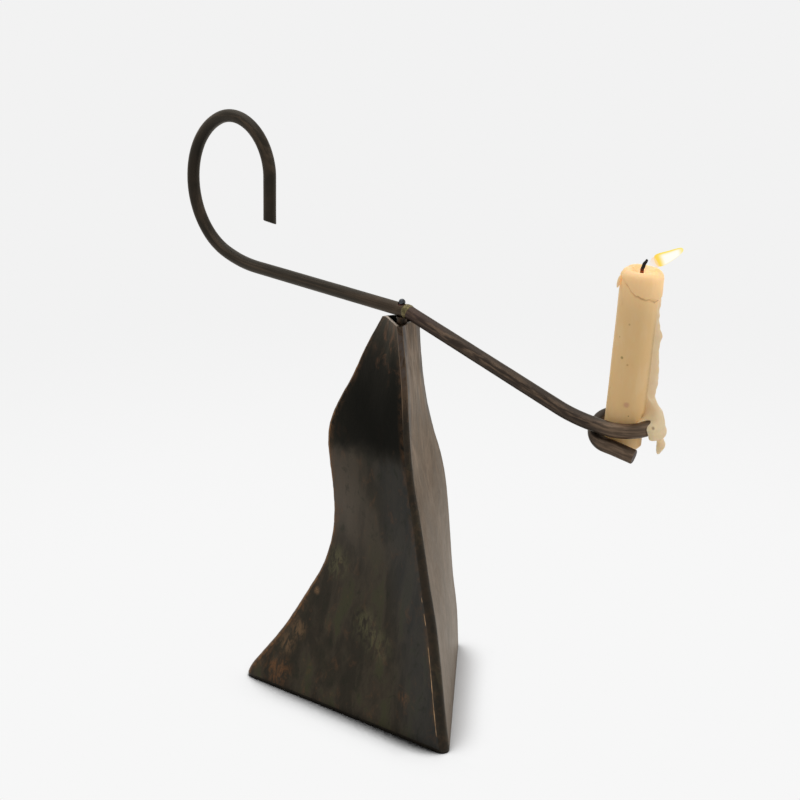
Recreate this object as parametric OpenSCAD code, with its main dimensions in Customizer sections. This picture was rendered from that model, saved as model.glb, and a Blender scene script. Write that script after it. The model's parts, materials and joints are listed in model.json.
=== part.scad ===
// Candle holder: a sheet-steel tower, a counterweighted swinging arm and its candle.
// Millimetres, +Z up. The origin is on the tabletop, straight under the pivot pin.
// At rest the candle end of the arm points along +X and the hook along -X.

/* [Tower] */
// Height of the tower's mouth above the table
tower_h = 248.6; // [220:0.2:280]
// Thickness of the sheet-steel faces, measured level
sheet_t = 1.6; // [1.2:0.1:1.8]
// Thickness of the plate that closes the foot
base_t = 2; // [1.5:0.5:3]
// Rounding of the ground corner welds at the foot
foot_round = 4; // [3:0.5:5]
// Rounding of the ground corner welds at the mouth
mouth_round = 2; // [1.9:0.1:2.5]

/* [Pivot] */
// Diameter of the pivot pin
pin_d = 3; // [2.5:0.1:3.2]
// Length of the pin below the washer
pin_reach = 40; // [25:1:55]
// Diameter of the ball head
ball_d = 4.1; // [3.6:0.1:4.4]
// Outside diameter of the socket tube
tube_d = 6; // [5.4:0.1:6.2]
// Running clearance round the pin, on the radius
pin_play = 0.05; // [0.02:0.01:0.1]

/* [Arm] */
// Diameter of the round bar
bar_d = 8; // [7:0.1:8]
// Height over the mouth at which the centre lines of the two bars meet
bar_lift = 7.3; // [7.2:0.1:8]
// Rise of the hook bar toward the hook, in degrees
hook_rise = 1; // [0:0.1:3]
// Slope of the candle bar below level, in degrees
bar_slope = 15.4; // [12:0.1:17]
// Distance from the pin to the centre of the candle ring
ring_reach = 149.2; // [140:0.2:165]
// Bore of the candle ring
ring_bore = 22.6; // [22.2:0.1:24]
// Length of the wound bar, in degrees round the candle
ring_turn = 376; // [365:1:385]
// Length of the straight end that follows the winding
ring_tail = 11.8; // [8:0.2:14]

/* [Candle] */
// Diameter of the candle
candle_d = 21; // [19:0.1:21]
// Height of the candle from its foot to its rim
candle_h = 98.4; // [60:0.2:150]
// Lean of the candle away from the tower, in degrees
candle_lean = 4; // [0:0.5:4]

/* [Hidden] */
$fn = 48;

// Tower corners in plan: where each one is at the mouth and at the foot
LEFT = 0;
FRONT = 1;
REAR = 2;
mouth_plan = [[-19.1, 4.8], [5.8, -8.4], [1, 13.7]];
foot_plan = [[-89.3, -50.8], [66.1, -31.6], [-18.7, 75.4]];
// Outline of each corner as [height, distance out from its mouth point], for the height below
outline_h = 248.6;
outlines = [
    [[0, 91.2], [6, 88.7], [12, 84.4], [20, 78.1], [30, 70.4], [42, 62.1], [62, 50.4], [82, 39.5],
        [104, 33.1], [120, 31.8], [136, 32.4], [152, 33.9], [166, 35], [180, 33.3], [194, 27.6],
        [210, 19], [228, 11], [248.6, 0]],
    [[0, 65.3], [24, 58.9], [52, 52.6], [76, 45.9], [96, 37.9], [116, 31], [136, 23.8], [154, 16.6],
        [172, 12.4], [190, 9.7], [216, 7], [248.6, 0]],
    [[0, 61.5], [30, 58.3], [60, 51], [90, 46], [112, 42.6], [134, 37.8], [152, 30.9], [172, 20.3],
        [196, 9.7], [222, 3], [248.6, 0]]];
// Rows of facets up the tower and strips across each face
tower_rows = 44;
face_strips = 4;
seam_steps = 6;

// Arm: the hook bar and the candle bar meet at the kink, where the brass fills a short bend
bar_r = bar_d / 2;
fall = tan(bar_slope);
kink_x = 4.6;
kink_z = tower_h + bar_lift;
kink_half = 1.7;
kink_turn = bar_slope - hook_rise;
kink_r = kink_half / tan(kink_turn / 2);
braze_r = bar_r + 0.25;
braze_steps = 4;
// Distance from the kink to the hook, its [radius, degrees] bends one after the other, and its straight tip
hook_straight = 132.4;
hook_bends = [[98.7, 17.8], [44.1, 67.6], [47.8, 71.7], [32.8, 114.3]];
hook_tip = 28.6;
// Slant of the tip's cut end across the bar, in degrees
hook_slant = 24;

// Pivot stack, from the bar down: a flat seat in the bar, a washer, and the tube that stands in the mouth
bar_z = kink_z + kink_x * tan(hook_rise);
face_gap = 0.1;
seat_depth = 0.25;
seat_r = 3.7;
seat_z = bar_z - bar_r + seat_depth;
washer_t = 1;
washer_d = 6.8;
washer_z = seat_z - face_gap - washer_t;
tube_top = washer_z - face_gap;
tube_len = 46;
tack_len = 9;
tack_w = 2.4;
// The ball sits in a shallow counterbore in the top of the bar
ball_z = bar_z + bar_r + 0.6;
ball_seat_r = 2.5;
ball_seat_z = ball_z - 1.7;
fillet_r = 2.3;
fillet_h = 0.9;
// Space kept between the sloping bar and the corners of the mouth, which are ground away under it
swing_gap = 0.3;

// Candle ring
ring_r = ring_bore / 2 + bar_r;
ring_drop = 27.2;
ring_z = tower_h - ring_drop;
level_from = 116;
// How far the wound bar has dropped, as [degrees round, drop], so that it passes under its own start
ring_drops = [[0, 0], [90, 0], [220, 1], [265, 2.2], [305, 6.4], [340, 9], [376, 10.1], [396, 12.6]];
// Drop of the straight end for each millimetre that it goes out
tail_fall = 0.26;
tail_steps = 4;
bar_sides = 20;
ring_step = 7;
bend_step = 6;

// Candle
candle_r = candle_d / 2;
candle_foot = 13.2;
candle_aside = [-0.2, 0];
rim_h = 10.4;
collar_out = 1.3;
// Rounded lip of the rim, as [distance out from the body, height against the rim]
lip = [[collar_out, -4], [collar_out - 0.7, -2], [-1, -0.6], [-2.8, 0]];
pool_r = candle_r - 3.6;
pool_slope = 2.9;
pool_deep = 2.6;
wick_r = 0.9;
wick_rise = 0.6;
wick_bend_r = 12;
wick_bend = 35;
wick_turn = 44;
// Space round the ring in the wax that has run over it, and between the run and the round candle
wax_gap = 0.35;
wax_seat = 0.02;

function unit(v) = v / norm(v);
function out_of(v) = [v[1], -v[0]];

// Smooth curve through [x, y] points: the slope at each point is that between its neighbours
function slope_at(p, i) =
    let (a = max(i - 1, 0), b = min(i + 1, len(p) - 1))
    (p[b][1] - p[a][1]) / (p[b][0] - p[a][0]);
function curve_at(p, x) =
    let (i = max([for (k = [0 : len(p) - 2]) if (p[k][0] <= x) k]),
        w = p[i + 1][0] - p[i][0],
        t = (x - p[i][0]) / w)
    (2 * t * t * t - 3 * t * t + 1) * p[i][1]
    + (t * t * t - 2 * t * t + t) * w * slope_at(p, i)
    + (3 * t * t - 2 * t * t * t) * p[i + 1][1]
    + (t * t * t - t * t) * w * slope_at(p, i + 1);

// Tower section at a height: the three visible corners, then the sharp corners that the rounding leaves
function edge_point(c, z) =
    mouth_plan[c] + unit(foot_plan[c] - mouth_plan[c])
    * curve_at(outlines[c], min(max(z * outline_h / tower_h, 0), outline_h));
function edge_points(z) = [for (c = [0 : 2]) edge_point(c, z)];
function half_angle(p, c) =
    let (u = unit(p[(c + 1) % 3] - p[c]), v = unit(p[(c + 2) % 3] - p[c]))
    acos(u * v) / 2;
function round_at(z) = foot_round + (mouth_round - foot_round) * z / tower_h;
function corners(z) =
    let (p = edge_points(z), r = round_at(z))
    [for (c = [0 : 2])
        let (inward = unit(unit(p[(c + 1) % 3] - p[c]) + unit(p[(c + 2) % 3] - p[c])))
        p[c] - inward * r * (1 / sin(half_angle(p, c)) - 1)];

// Ends of the face between corner c and the next one, on its outside, and the way into the tower
function face_ends(q, c, r) =
    let (n = (c + 1) % 3, along = unit(q[n] - q[c]))
    [q[c] + along * r / tan(half_angle(q, c)), q[n] - along * r / tan(half_angle(q, n))];
function inward(q, c) = -out_of(unit(q[(c + 1) % 3] - q[c]));
function between(a, b, n) = [for (j = [0 : n]) a + (b - a) * j / n];
function raise(points, z) = [for (p = points) [p[0], p[1], z]];
function face_outside(q, c, r) = let (e = face_ends(q, c, r)) between(e[0], e[1], face_strips);
function face_inside(q, c, r) = [for (p = face_outside(q, c, r)) p + inward(q, c) * sheet_t];
function face_ring(z, c) =
    let (q = corners(z), r = round_at(z), inner = face_inside(q, c, r))
    raise(concat(face_outside(q, c, r), [for (j = [face_strips : -1 : 0]) inner[j]]), z);

// Corner weld: an arc outside, and flat inside between the inner ends of its two faces
function corner_arc(q, c, r) =
    let (p = (c + 2) % 3, h = half_angle(q, c),
        inner = unit(unit(q[p] - q[c]) + unit(q[(c + 1) % 3] - q[c])),
        centre = q[c] + inner * r / sin(h),
        first = -inward(q, p), second = -inward(q, c),
        a = atan2(first[1], first[0]), b = atan2(second[1], second[0]),
        sweep = (b - a + 360) % 360)
    [for (i = [0 : seam_steps])
        let (t = a + sweep * i / seam_steps) centre + r * [cos(t), sin(t)]];
function seam_ring(z, c) =
    let (q = corners(z), r = round_at(z), p = (c + 2) % 3)
    raise(concat(corner_arc(q, c, r), [face_inside(q, c, r)[0], face_inside(q, p, r)[face_strips]]), z);
function outside_ring(z) =
    let (q = corners(z), r = round_at(z))
    concat(corner_arc(q, 0, r), corner_arc(q, 1, r), corner_arc(q, 2, r));
function cavity_ring(z) =
    let (q = corners(z), r = round_at(z))
    raise([for (c = [0 : 2]) each face_inside(q, c, r)], z);
function row_z(k) = base_t + (tower_h - base_t) * k / tower_rows;

// Closed skin over rings of points, with each end covered by the polygons that ends gives as places
// in the ring. Two skins that meet use opposite diagonals, so that they match.
module skin(rings, flip = false, ends = undef) {
    n = len(rings[0]);
    m = len(rings);
    cover = is_undef(ends) ? [[for (j = [0 : n - 1]) j]] : ends;
    sides = [for (k = [0 : m - 2], j = [0 : n - 1])
        let (a = k * n + j, b = k * n + (j + 1) % n, c = a + n, d = b + n)
        each flip ? [[a, c, b], [b, c, d]] : [[a, d, b], [a, c, d]]];
    polyhedron([for (ring = rings) each ring],
        concat(cover, sides,
            [for (e = cover) [for (j = [len(e) - 1 : -1 : 0]) (m - 1) * n + e[j]]]));
}

// Ring of points square to a path, at its point i
function heading(p, i) =
    i == 0 ? unit(p[1] - p[0]) : i == len(p) - 1 ? unit(p[i] - p[i - 1]) :
    unit(unit(p[i + 1] - p[i]) + unit(p[i] - p[i - 1]));
function round_section(at, way, side, r) =
    let (up = cross(way, side))
    [for (j = [0 : bar_sides - 1]) let (a = 360 * j / bar_sides) at + r * (cos(a) * side + sin(a) * up)];
function level_side(p, i) = unit(cross([0, 0, 1], heading(p, i)));

// Room for the sloping bar as it swings: what would stand above this height, at a distance from the
// pin, is ground off the mouth
function under_bar(r) = kink_z - (r - kink_x) * fall - bar_r / cos(bar_slope) - swing_gap;
function above_room(p) = p[2] - under_bar(norm([p[0], p[1]]));
function ground(low, high) =
    let (a = above_room(low), b = above_room(high))
    b <= 0 ? high : low + (high - low) * a / (a - b);
function ground_top(rings) =
    let (m = len(rings) - 1)
    [for (k = [0 : m]) k < m ? rings[k] :
        [for (j = [0 : len(rings[m]) - 1]) ground(rings[m - 1][j], rings[m][j])]];

// The ends of a face are a row of four-sided pieces, and those of a weld a fan from one end of its flat
module face(c) {
    skin(ground_top([for (k = [0 : tower_rows]) face_ring(row_z(k), c)]),
        ends = [for (j = [0 : face_strips - 1]) [j, j + 1, 2 * face_strips - j, 2 * face_strips + 1 - j]]);
}

module seam(c) {
    fan = seam_steps + 1;
    last = seam_steps + 2;
    skin(ground_top([for (k = [0 : tower_rows]) seam_ring(row_z(k), c)]), flip = true,
        ends = concat([for (j = [0 : seam_steps - 1]) [j, j + 1, fan]], [[last, 0, fan]]));
}

module face_left() {
    color([0.13, 0.12, 0.11]) face(LEFT);
}

module face_right() {
    color([0.47, 0.42, 0.38]) face(FRONT);
}

module face_back() {
    color([0.22, 0.2, 0.18]) face(REAR);
}

module seam_front() {
    color([0.3, 0.23, 0.17]) seam(FRONT);
}

module seam_left() {
    color([0.25, 0.2, 0.15]) seam(LEFT);
}

module seam_rear() {
    color([0.3, 0.25, 0.2]) seam(REAR);
}

module base_plate() {
    color([0.2, 0.16, 0.13]) linear_extrude(base_t) polygon(outside_ring(base_t));
}

// Short tube that guides the pin, and the three tacks that hold it to the faces
module socket_tube() {
    color([0.2, 0.17, 0.15]) difference() {
        translate([0, 0, tube_top - tube_len]) cylinder(d = tube_d, h = tube_len);
        translate([0, 0, tube_top - tube_len - 1]) cylinder(d = pin_d + 2 * pin_play, h = tube_len + 2);
    }
}

module socket_tacks() {
    top = row_z(tower_rows - 1) + (row_z(tower_rows) - row_z(tower_rows - 1)) / 2;
    q = corners(top);
    color([0.35, 0.22, 0.14]) difference() {
        intersection() {
            union() {
                for (c = [0 : 2]) {
                    way = -inward(q, c);
                    rotate([0, 0, atan2(way[1], way[0])])
                        translate([tube_d / 2 - 1, -tack_w / 2, top - tack_len])
                            cube([20, tack_w, tack_len]);
                }
            }
            skin([for (k = [tower_rows - 3 : tower_rows]) cavity_ring(row_z(k))], flip = true);
        }
        translate([0, 0, top - tack_len - 1]) cylinder(d = tube_d, h = tack_len + 2);
    }
}

// Loose washer that the bar turns on
module thrust_washer() {
    color([0.4, 0.38, 0.36]) translate([0, 0, washer_z]) difference() {
        cylinder(d = washer_d, h = washer_t);
        translate([0, 0, -1]) cylinder(d = pin_d + 2 * pin_play, h = washer_t + 2);
    }
}

// Everything that is cut from the bar at the pin: the pin's hole, the ball's seat and the washer's seat
module pivot_cuts() {
    translate([0, 0, seat_z - 5]) cylinder(r = seat_r, h = 5);
    translate([0, 0, seat_z - 1]) cylinder(d = pin_d, h = 20);
    translate([0, 0, ball_seat_z]) cylinder(r = ball_seat_r, h = 10);
}

// Both bars lie in the plane Y = 0 as far as the ring, so their paths start as [x, z] points.
// A bend of some degrees to the right from a point, heading for aim, and the chain of the hook's bends
function bend_points(at, aim, r, angle) =
    let (centre = at + r * [cos(aim - 90), sin(aim - 90)], steps = ceil(angle / bend_step))
    [for (i = [1 : steps]) let (a = aim + 90 - angle * i / steps) centre + r * [cos(a), sin(a)]];
function bend_run(at, aim, i = 0) =
    i == len(hook_bends) ? [at + hook_tip * [cos(aim), sin(aim)]] :
    let (arc = bend_points(at, aim, hook_bends[i][0], hook_bends[i][1]))
    concat(arc, bend_run(arc[len(arc) - 1], aim - hook_bends[i][1], i + 1));
kink = [kink_x, kink_z];
to_hook = [-cos(hook_rise), sin(hook_rise)];
hook_start = kink + hook_straight * to_hook;
hook_flat = concat([kink + kink_half * to_hook, hook_start], bend_run(hook_start, 180 - hook_rise));
hook_path = [for (p = hook_flat) [p[0], 0, p[1]]];
function slanted(ring) = [for (p = ring) p - [0, 0, p[1] * tan(hook_slant)]];
function hook_ring(i) =
    let (ring = round_section(hook_path[i], heading(hook_path, i), [0, -1, 0], bar_r))
    i == len(hook_path) - 1 ? slanted(ring) : ring;

module hook_bar() {
    color([0.24, 0.21, 0.18]) difference() {
        skin([for (i = [0 : len(hook_path) - 1]) hook_ring(i)]);
        pivot_cuts();
    }
}

module bar_braze() {
    start = kink + kink_half * to_hook;
    centre = start + kink_r * [-sin(hook_rise), -cos(hook_rise)];
    color([0.62, 0.5, 0.2]) difference() {
        skin([for (i = [0 : braze_steps])
            let (a = hook_rise + kink_turn * i / braze_steps, way = [cos(a), 0, -sin(a)],
                at = centre + kink_r * [sin(a), cos(a)])
            round_section([at[0], 0, at[1]], way, [0, 1, 0], braze_r)]);
        pivot_cuts();
    }
}

// Path of the candle bar: straight from the kink, levelled out, wound round the candle, straight again
joint_end = [kink_x + kink_half * cos(bar_slope), 0, kink_z - kink_half * sin(bar_slope)];
function straight_z(x) = kink_z - (x - kink_x) * fall;
function level_z_at(t) =
    let (span = ring_reach - level_from)
    (2 * t * t * t - 3 * t * t + 1) * straight_z(level_from)
    - (t * t * t - 2 * t * t + t) * span * fall
    + (3 * t * t - 2 * t * t * t) * ring_z;
function ring_point(turn) =
    [ring_reach + ring_r * sin(turn), ring_r - ring_r * cos(turn),
        ring_z - curve_at(ring_drops, turn)];
level_steps = 8;
ring_count = round(ring_turn / ring_step);
tail_way = unit([cos(ring_turn), sin(ring_turn), -tail_fall]);
candle_path = concat(
    [joint_end],
    [for (i = [0 : level_steps - 1]) let (t = i / level_steps)
        [level_from + (ring_reach - level_from) * t, 0, level_z_at(t)]],
    [for (i = [0 : ring_count]) ring_point(ring_turn * i / ring_count)],
    [for (i = [1 : tail_steps]) ring_point(ring_turn) + tail_way * ring_tail * i / tail_steps]);

// Least gap of the wound bar to itself, between points that lie at least this many places apart
apart = 20;
path_last = len(candle_path) - 1;
least_gap = min([for (i = [0 : path_last - apart], j = [i + apart : path_last])
    norm(candle_path[i] - candle_path[j])]) - bar_d;
echo("Least gap of the wound bar to itself in mm", least_gap);

module candle_bar() {
    color([0.26, 0.23, 0.2])
        skin([for (i = [0 : len(candle_path) - 1])
            round_section(candle_path[i], heading(candle_path, i), level_side(candle_path, i), bar_r)]);
}

// Pin with its ball head, and the brass fillet between the ball and the bar
module pivot_pin() {
    color([0.2, 0.2, 0.21]) {
        translate([0, 0, washer_z - pin_reach]) cylinder(d = pin_d, h = pin_reach + ball_z - washer_z);
        translate([0, 0, ball_z]) sphere(d = ball_d);
    }
}

module pin_braze() {
    color([0.45, 0.25, 0.14]) difference() {
        translate([0, 0, ball_seat_z]) cylinder(r1 = fillet_r, r2 = pin_d / 2, h = fillet_h);
        translate([0, 0, ball_seat_z - 1]) cylinder(d = pin_d, h = 4);
        translate([0, 0, ball_z]) sphere(d = ball_d);
    }
}

// The candle's own frame: its foot is at the origin and its axis is +Z
module at_candle() {
    translate([ring_reach + candle_aside[0], ring_r + candle_aside[1], ring_z])
        rotate([0, candle_lean, 0]) translate([0, 0, -candle_foot]) children();
}

// The candle with its softened rim and the pool of wax in its top
module candle_form(grow = 0) {
    r = candle_r + grow;
    h = candle_h;
    rotate_extrude() polygon(concat(
        [[0, 0], [r - 1, 0], [r, 1], [r, h - rim_h - 2], [r + collar_out, h - rim_h]],
        [for (p = lip) [r + p[0], h + p[1]]],
        [[pool_r, h - 0.5], [pool_r - pool_slope, h - pool_deep], [0, h - pool_deep - 0.4]]));
}

module candle_stick() {
    color([0.8, 0.71, 0.52]) at_candle() difference() {
        candle_form();
        translate([0, 0, -1]) cylinder(r = wick_r, h = candle_h + 2);
    }
}

module wick() {
    stand = candle_h - pool_deep + wick_rise;
    color([0.08, 0.06, 0.05]) at_candle() {
        cylinder(r = wick_r, h = stand);
        translate([0, 0, stand]) rotate([0, 0, wick_turn]) translate([wick_bend_r, 0, 0])
            rotate([90, 0, 180]) rotate_extrude(angle = wick_bend)
                translate([wick_bend_r, 0]) circle(r = wick_r);
    }
}

// Wax that has run down and over the ring: stations of [height, way round the candle,
// half of its spread in degrees, how far it stands out]
run_stations = [[88, 46, 20, 0.9], [84, 48, 22, 1.2], [77, 50, 23, 1.4], [71, 50, 23, 1.7],
    [66, 50, 23, 2.6], [62.5, 50, 24, 4.3], [59, 50, 24, 3.9], [53, 51, 24, 3.8], [46, 52, 24, 4.7],
    [38, 54, 24, 5.6], [32, 55, 23, 5.4], [27, 54, 21, 5], [23.5, 49, 21, 6.6], [20.8, 42, 23, 8.4],
    [19, 35, 28, 9.5], [17.6, 25, 41, 10.2], [16, 20, 44, 10.7], [14, 20, 42, 11.1], [12, 20, 38, 11.8],
    [10, 21, 35, 12.5], [9.2, 21, 30, 12.3], [8.4, 18, 16, 11.2], [6.6, 17.5, 12.5, 12.2],
    [4.2, 18, 13, 13.1], [2, 17, 11.5, 12.2], [0.6, 15, 8, 11.4], [-0.2, 13, 3, 11]];
run_back = 1.6;
run_sides = 20;
run_square = 0.6;
function squared(v) = sign(v) * pow(abs(v), run_square);
function run_ring(s) =
    let (out = candle_r + s[3], back = candle_r - run_back)
    [for (j = [0 : run_sides - 1])
        let (a = 360 * j / run_sides,
            r = (out + back) / 2 + (out - back) / 2 * squared(cos(a)),
            t = s[1] + s[2] * squared(sin(a)))
        [r * cos(t), r * sin(t), s[0]]];

module wax_run() {
    under = 40;
    color([0.84, 0.77, 0.6]) difference() {
        at_candle() difference() {
            skin([for (i = [len(run_stations) - 1 : -1 : 0]) run_ring(run_stations[i])]);
            candle_form(wax_seat);
        }
        translate([ring_reach, ring_r, ring_z]) {
            rotate_extrude() translate([ring_r, 0]) circle(r = bar_r + wax_gap);
            translate([0, 0, -under]) cylinder(r = ring_r + bar_r + wax_gap, h = under);
        }
    }
}

// Drop that hangs on the softened rim
drip_way = -130;
drip_lean = 9;
drip_fn = 16;
module rim_drip() {
    low = candle_h - rim_h + 1.4;
    color([0.84, 0.76, 0.6]) at_candle() difference() {
        rotate([0, 0, drip_way]) translate([candle_r + collar_out + 0.1, 0, low]) rotate([0, -drip_lean, 0])
            hull() {
                sphere(r = 0.8, $fn = drip_fn);
                translate([0, 0, 3.8]) sphere(r = 1, $fn = drip_fn);
            }
        candle_form(wax_seat, $fn = drip_fn * 8);
    }
}

face_left();
face_right();
face_back();
seam_front();
seam_left();
seam_rear();
base_plate();
socket_tube();
socket_tacks();
thrust_washer();
hook_bar();
candle_bar();
bar_braze();
pivot_pin();
pin_braze();
candle_stick();
wick();
wax_run();
rim_drip();
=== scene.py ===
# %% [markdown]
# # A swinging candle holder in patinated steel
#
# A tower of three cut sheets stands on the table. A round bar rocks on its mouth: one end is
# rolled into a hook, which is the counterweight, and the other is wound into a ring that holds a
# dinner candle. The CAD model gives the solids and the joints. This lesson dresses them: it makes
# smoother meshes for what curves, and a procedural finish for every surface.
#
# Blender works in metres. The sizes below are the maker's millimetres, and each mesh is scaled
# once, when it is made.

# %% Tools and the frame
import json
from math import atan2, cos, exp, hypot, pi, radians, sin, sqrt, tan

import bpy
import numpy as np
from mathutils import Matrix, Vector

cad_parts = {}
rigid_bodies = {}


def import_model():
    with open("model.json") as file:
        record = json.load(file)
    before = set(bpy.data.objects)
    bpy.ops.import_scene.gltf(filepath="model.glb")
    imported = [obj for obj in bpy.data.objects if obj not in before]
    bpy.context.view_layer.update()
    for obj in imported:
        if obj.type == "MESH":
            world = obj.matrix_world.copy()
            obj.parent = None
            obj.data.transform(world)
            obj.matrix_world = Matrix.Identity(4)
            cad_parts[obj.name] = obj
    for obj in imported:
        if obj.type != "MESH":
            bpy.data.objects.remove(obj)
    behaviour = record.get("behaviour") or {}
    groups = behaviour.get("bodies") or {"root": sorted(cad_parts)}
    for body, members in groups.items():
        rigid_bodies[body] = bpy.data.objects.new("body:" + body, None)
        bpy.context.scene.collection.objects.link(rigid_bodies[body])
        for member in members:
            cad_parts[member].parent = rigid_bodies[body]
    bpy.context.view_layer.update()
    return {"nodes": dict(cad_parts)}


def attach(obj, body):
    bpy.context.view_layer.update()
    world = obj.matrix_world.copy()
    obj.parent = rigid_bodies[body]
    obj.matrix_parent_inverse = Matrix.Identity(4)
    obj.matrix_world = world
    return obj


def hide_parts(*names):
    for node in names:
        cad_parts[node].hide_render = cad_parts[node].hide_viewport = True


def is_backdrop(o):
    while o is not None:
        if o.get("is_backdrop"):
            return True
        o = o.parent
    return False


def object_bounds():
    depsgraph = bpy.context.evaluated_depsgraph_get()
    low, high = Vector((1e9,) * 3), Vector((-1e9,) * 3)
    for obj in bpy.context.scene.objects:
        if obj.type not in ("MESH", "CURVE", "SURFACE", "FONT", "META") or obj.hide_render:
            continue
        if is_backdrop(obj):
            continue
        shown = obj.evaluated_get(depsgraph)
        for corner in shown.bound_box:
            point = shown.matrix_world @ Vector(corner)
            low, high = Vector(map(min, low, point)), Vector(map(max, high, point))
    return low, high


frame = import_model()
MM = 0.001

# %% [markdown]
# ## Camera and light
#
# The camera stands where the photographer stood: 20 degrees above the tabletop, with a long
# lens. A pale surround lights the object softly from everywhere, as a tent of white paper does.
# The dark patina shows little of it, except where a face is seen edge-on and turns pale. Two
# large lamps add some shape: one above and behind, one low on the right.

# %% Camera
CAMERA_AT = Vector((578.4, -609.1, 505.7)) * MM
AZIMUTH = radians(43.6)
ELEVATION = radians(20)
look = Vector((-sin(AZIMUTH) * cos(ELEVATION), cos(AZIMUTH) * cos(ELEVATION), -sin(ELEVATION)))

camera = bpy.data.objects.new("photo_camera", bpy.data.cameras.new("photo_camera"))
bpy.context.scene.collection.objects.link(camera)
camera.location = CAMERA_AT
camera.rotation_euler = look.to_track_quat("-Z", "Y").to_euler()
camera.data.sensor_width = 36
camera.data.lens = 67.5
camera.data.clip_start = 0.01
camera.data.clip_end = 50
bpy.context.scene.camera = camera
print("camera at", [round(v, 3) for v in camera.location])

# %% Lamps
RIGHTWARD = Vector((cos(AZIMUTH), sin(AZIMUTH), 0))
FORWARD = Vector((-sin(AZIMUTH), cos(AZIMUTH), 0))
UP = Vector((0, 0, 1))


def lamp(name, place, aim, size, watts, tint=(1, 1, 1)):
    """A square soft lamp that points from place to aim."""
    data = bpy.data.lights.new(name, "AREA")
    data.size = size
    data.energy = watts
    data.color = tint
    made = bpy.data.objects.new(name, data)
    bpy.context.scene.collection.objects.link(made)
    made.location = place
    made.rotation_euler = (aim - place).to_track_quat("-Z", "Y").to_euler()
    return made


aim = Vector((0, 0, 0.17))
lamp("top_lamp", aim + 1.25 * UP + 0.35 * FORWARD - 0.25 * RIGHTWARD, aim, 1.2, 7.5)
lamp("right_lamp", aim + 1.1 * RIGHTWARD + 0.5 * UP - 0.15 * FORWARD, aim, 0.7, 2.2)

# %% [markdown]
# ## Shader maths as plain expressions
#
# A finish is a graph of nodes. Wiring each node by hand hides the idea, so one small class wraps
# an output and gives it the usual operators. `1 - wear` or `grain * 0.3` then adds Math nodes.
# Colours and vectors go through their own nodes. `Finish.node` makes any other node: first its
# settings, then the values or links of its inputs.

# %% The wire and the finish
class Wire:
    """An output of a node, which works in an expression as a number does."""

    def __init__(self, finish, socket):
        self.finish = finish
        self.socket = socket

    def maths(self, operation, *values):
        return self.finish.node("Math", {"operation": operation}, dict(enumerate(values)))

    def __add__(self, other):
        return self.maths("ADD", self, other)

    def __sub__(self, other):
        return self.maths("SUBTRACT", self, other)

    def __mul__(self, other):
        return self.maths("MULTIPLY", self, other)

    def __truediv__(self, other):
        return self.maths("DIVIDE", self, other)

    def __radd__(self, other):
        return self.maths("ADD", other, self)

    def __rsub__(self, other):
        return self.maths("SUBTRACT", other, self)

    def __rmul__(self, other):
        return self.maths("MULTIPLY", other, self)

    def over(self, low, high):
        """0 below low, 1 above high, and a smooth step between. Falls where low is above high."""
        return self.finish.node(
            "MapRange", {"interpolation_type": "SMOOTHSTEP"}, {0: self, 1: low, 2: high, 3: 0.0, 4: 1.0})


class Finish:
    """A material whose nodes are made by expressions."""

    def __init__(self, name):
        self.material = bpy.data.materials.new(name)
        self.material.use_nodes = True
        self.tree = self.material.node_tree
        self.tree.nodes.clear()

    def node(self, kind, settings=None, sockets=None, out=0):
        made = self.tree.nodes.new("ShaderNode" + kind)
        for name, value in (settings or {}).items():
            if name == "stops":
                while len(made.color_ramp.elements) < len(value):
                    made.color_ramp.elements.new(0.5)
                for element, (place, colour) in zip(made.color_ramp.elements, value):
                    element.position = place
                    element.color = (*colour, 1)
            else:
                setattr(made, name, value)
        for name, value in (sockets or {}).items():
            if isinstance(value, Wire):
                self.tree.links.new(value.socket, made.inputs[name])
            elif value is not None:
                field = made.inputs[name]
                wide = field.type == "RGBA" and len(value) == 3
                field.default_value = (*value, 1) if wide else value
        return Wire(self, made.outputs[out])

    def place(self, stretch=(1, 1, 1)):
        """Where the point is on its piece, in millimetres, with each axis stretched."""
        at = self.node("TexCoord", out="Object")
        return self.node("VectorMath", {"operation": "MULTIPLY"}, {0: at, 1: [s / MM for s in stretch]})

    def painted(self, name):
        """A number that the mesh carries at each of its points."""
        return self.node("Attribute", {"attribute_name": name}, out="Fac")

    def noise(self, where, size, detail=3, rough=0.55, twist=0.0):
        """Soft noise about 0.5, whose lumps are about size millimetres wide."""
        return self.node("TexNoise", {}, {
            "Vector": where, "Scale": 1 / size, "Detail": detail, "Roughness": rough, "Distortion": twist})

    def ramp(self, value, stops):
        return self.node("ValToRGB", {"stops": stops}, {0: value})

    def blend(self, low, high, share, way="MIX"):
        """Colour low where share is 0 and high where it is 1."""
        return self.node("Mix", {"data_type": "RGBA", "blend_type": way}, {0: share, 6: low, 7: high}, out=2)

    def bump(self, height, strength=1.0):
        """Relief whose height is in metres."""
        return self.node("Bump", {}, {"Height": height, "Distance": 1.0, "Strength": strength})

    def coat(self, **sockets):
        """The closing shader and the material's output."""
        named = {key.replace("_", " "): value for key, value in sockets.items()}
        shader = self.node("BsdfPrincipled", {}, named)
        self.node_output(shader)
        return self.material

    def node_output(self, shader):
        output = self.tree.nodes.new("ShaderNodeOutputMaterial")
        self.tree.links.new(shader.socket, output.inputs["Surface"])


def tone(red, green, blue):
    """The linear colour of a screen colour from 0 to 255."""
    return tuple(
        v / 12.92 if v <= 0.04045 else ((v + 0.055) / 1.055) ** 2.4
        for v in (red / 255, green / 255, blue / 255))


print("near-white in linear light:", [round(v, 3) for v in tone(242, 242, 242)])
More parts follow.
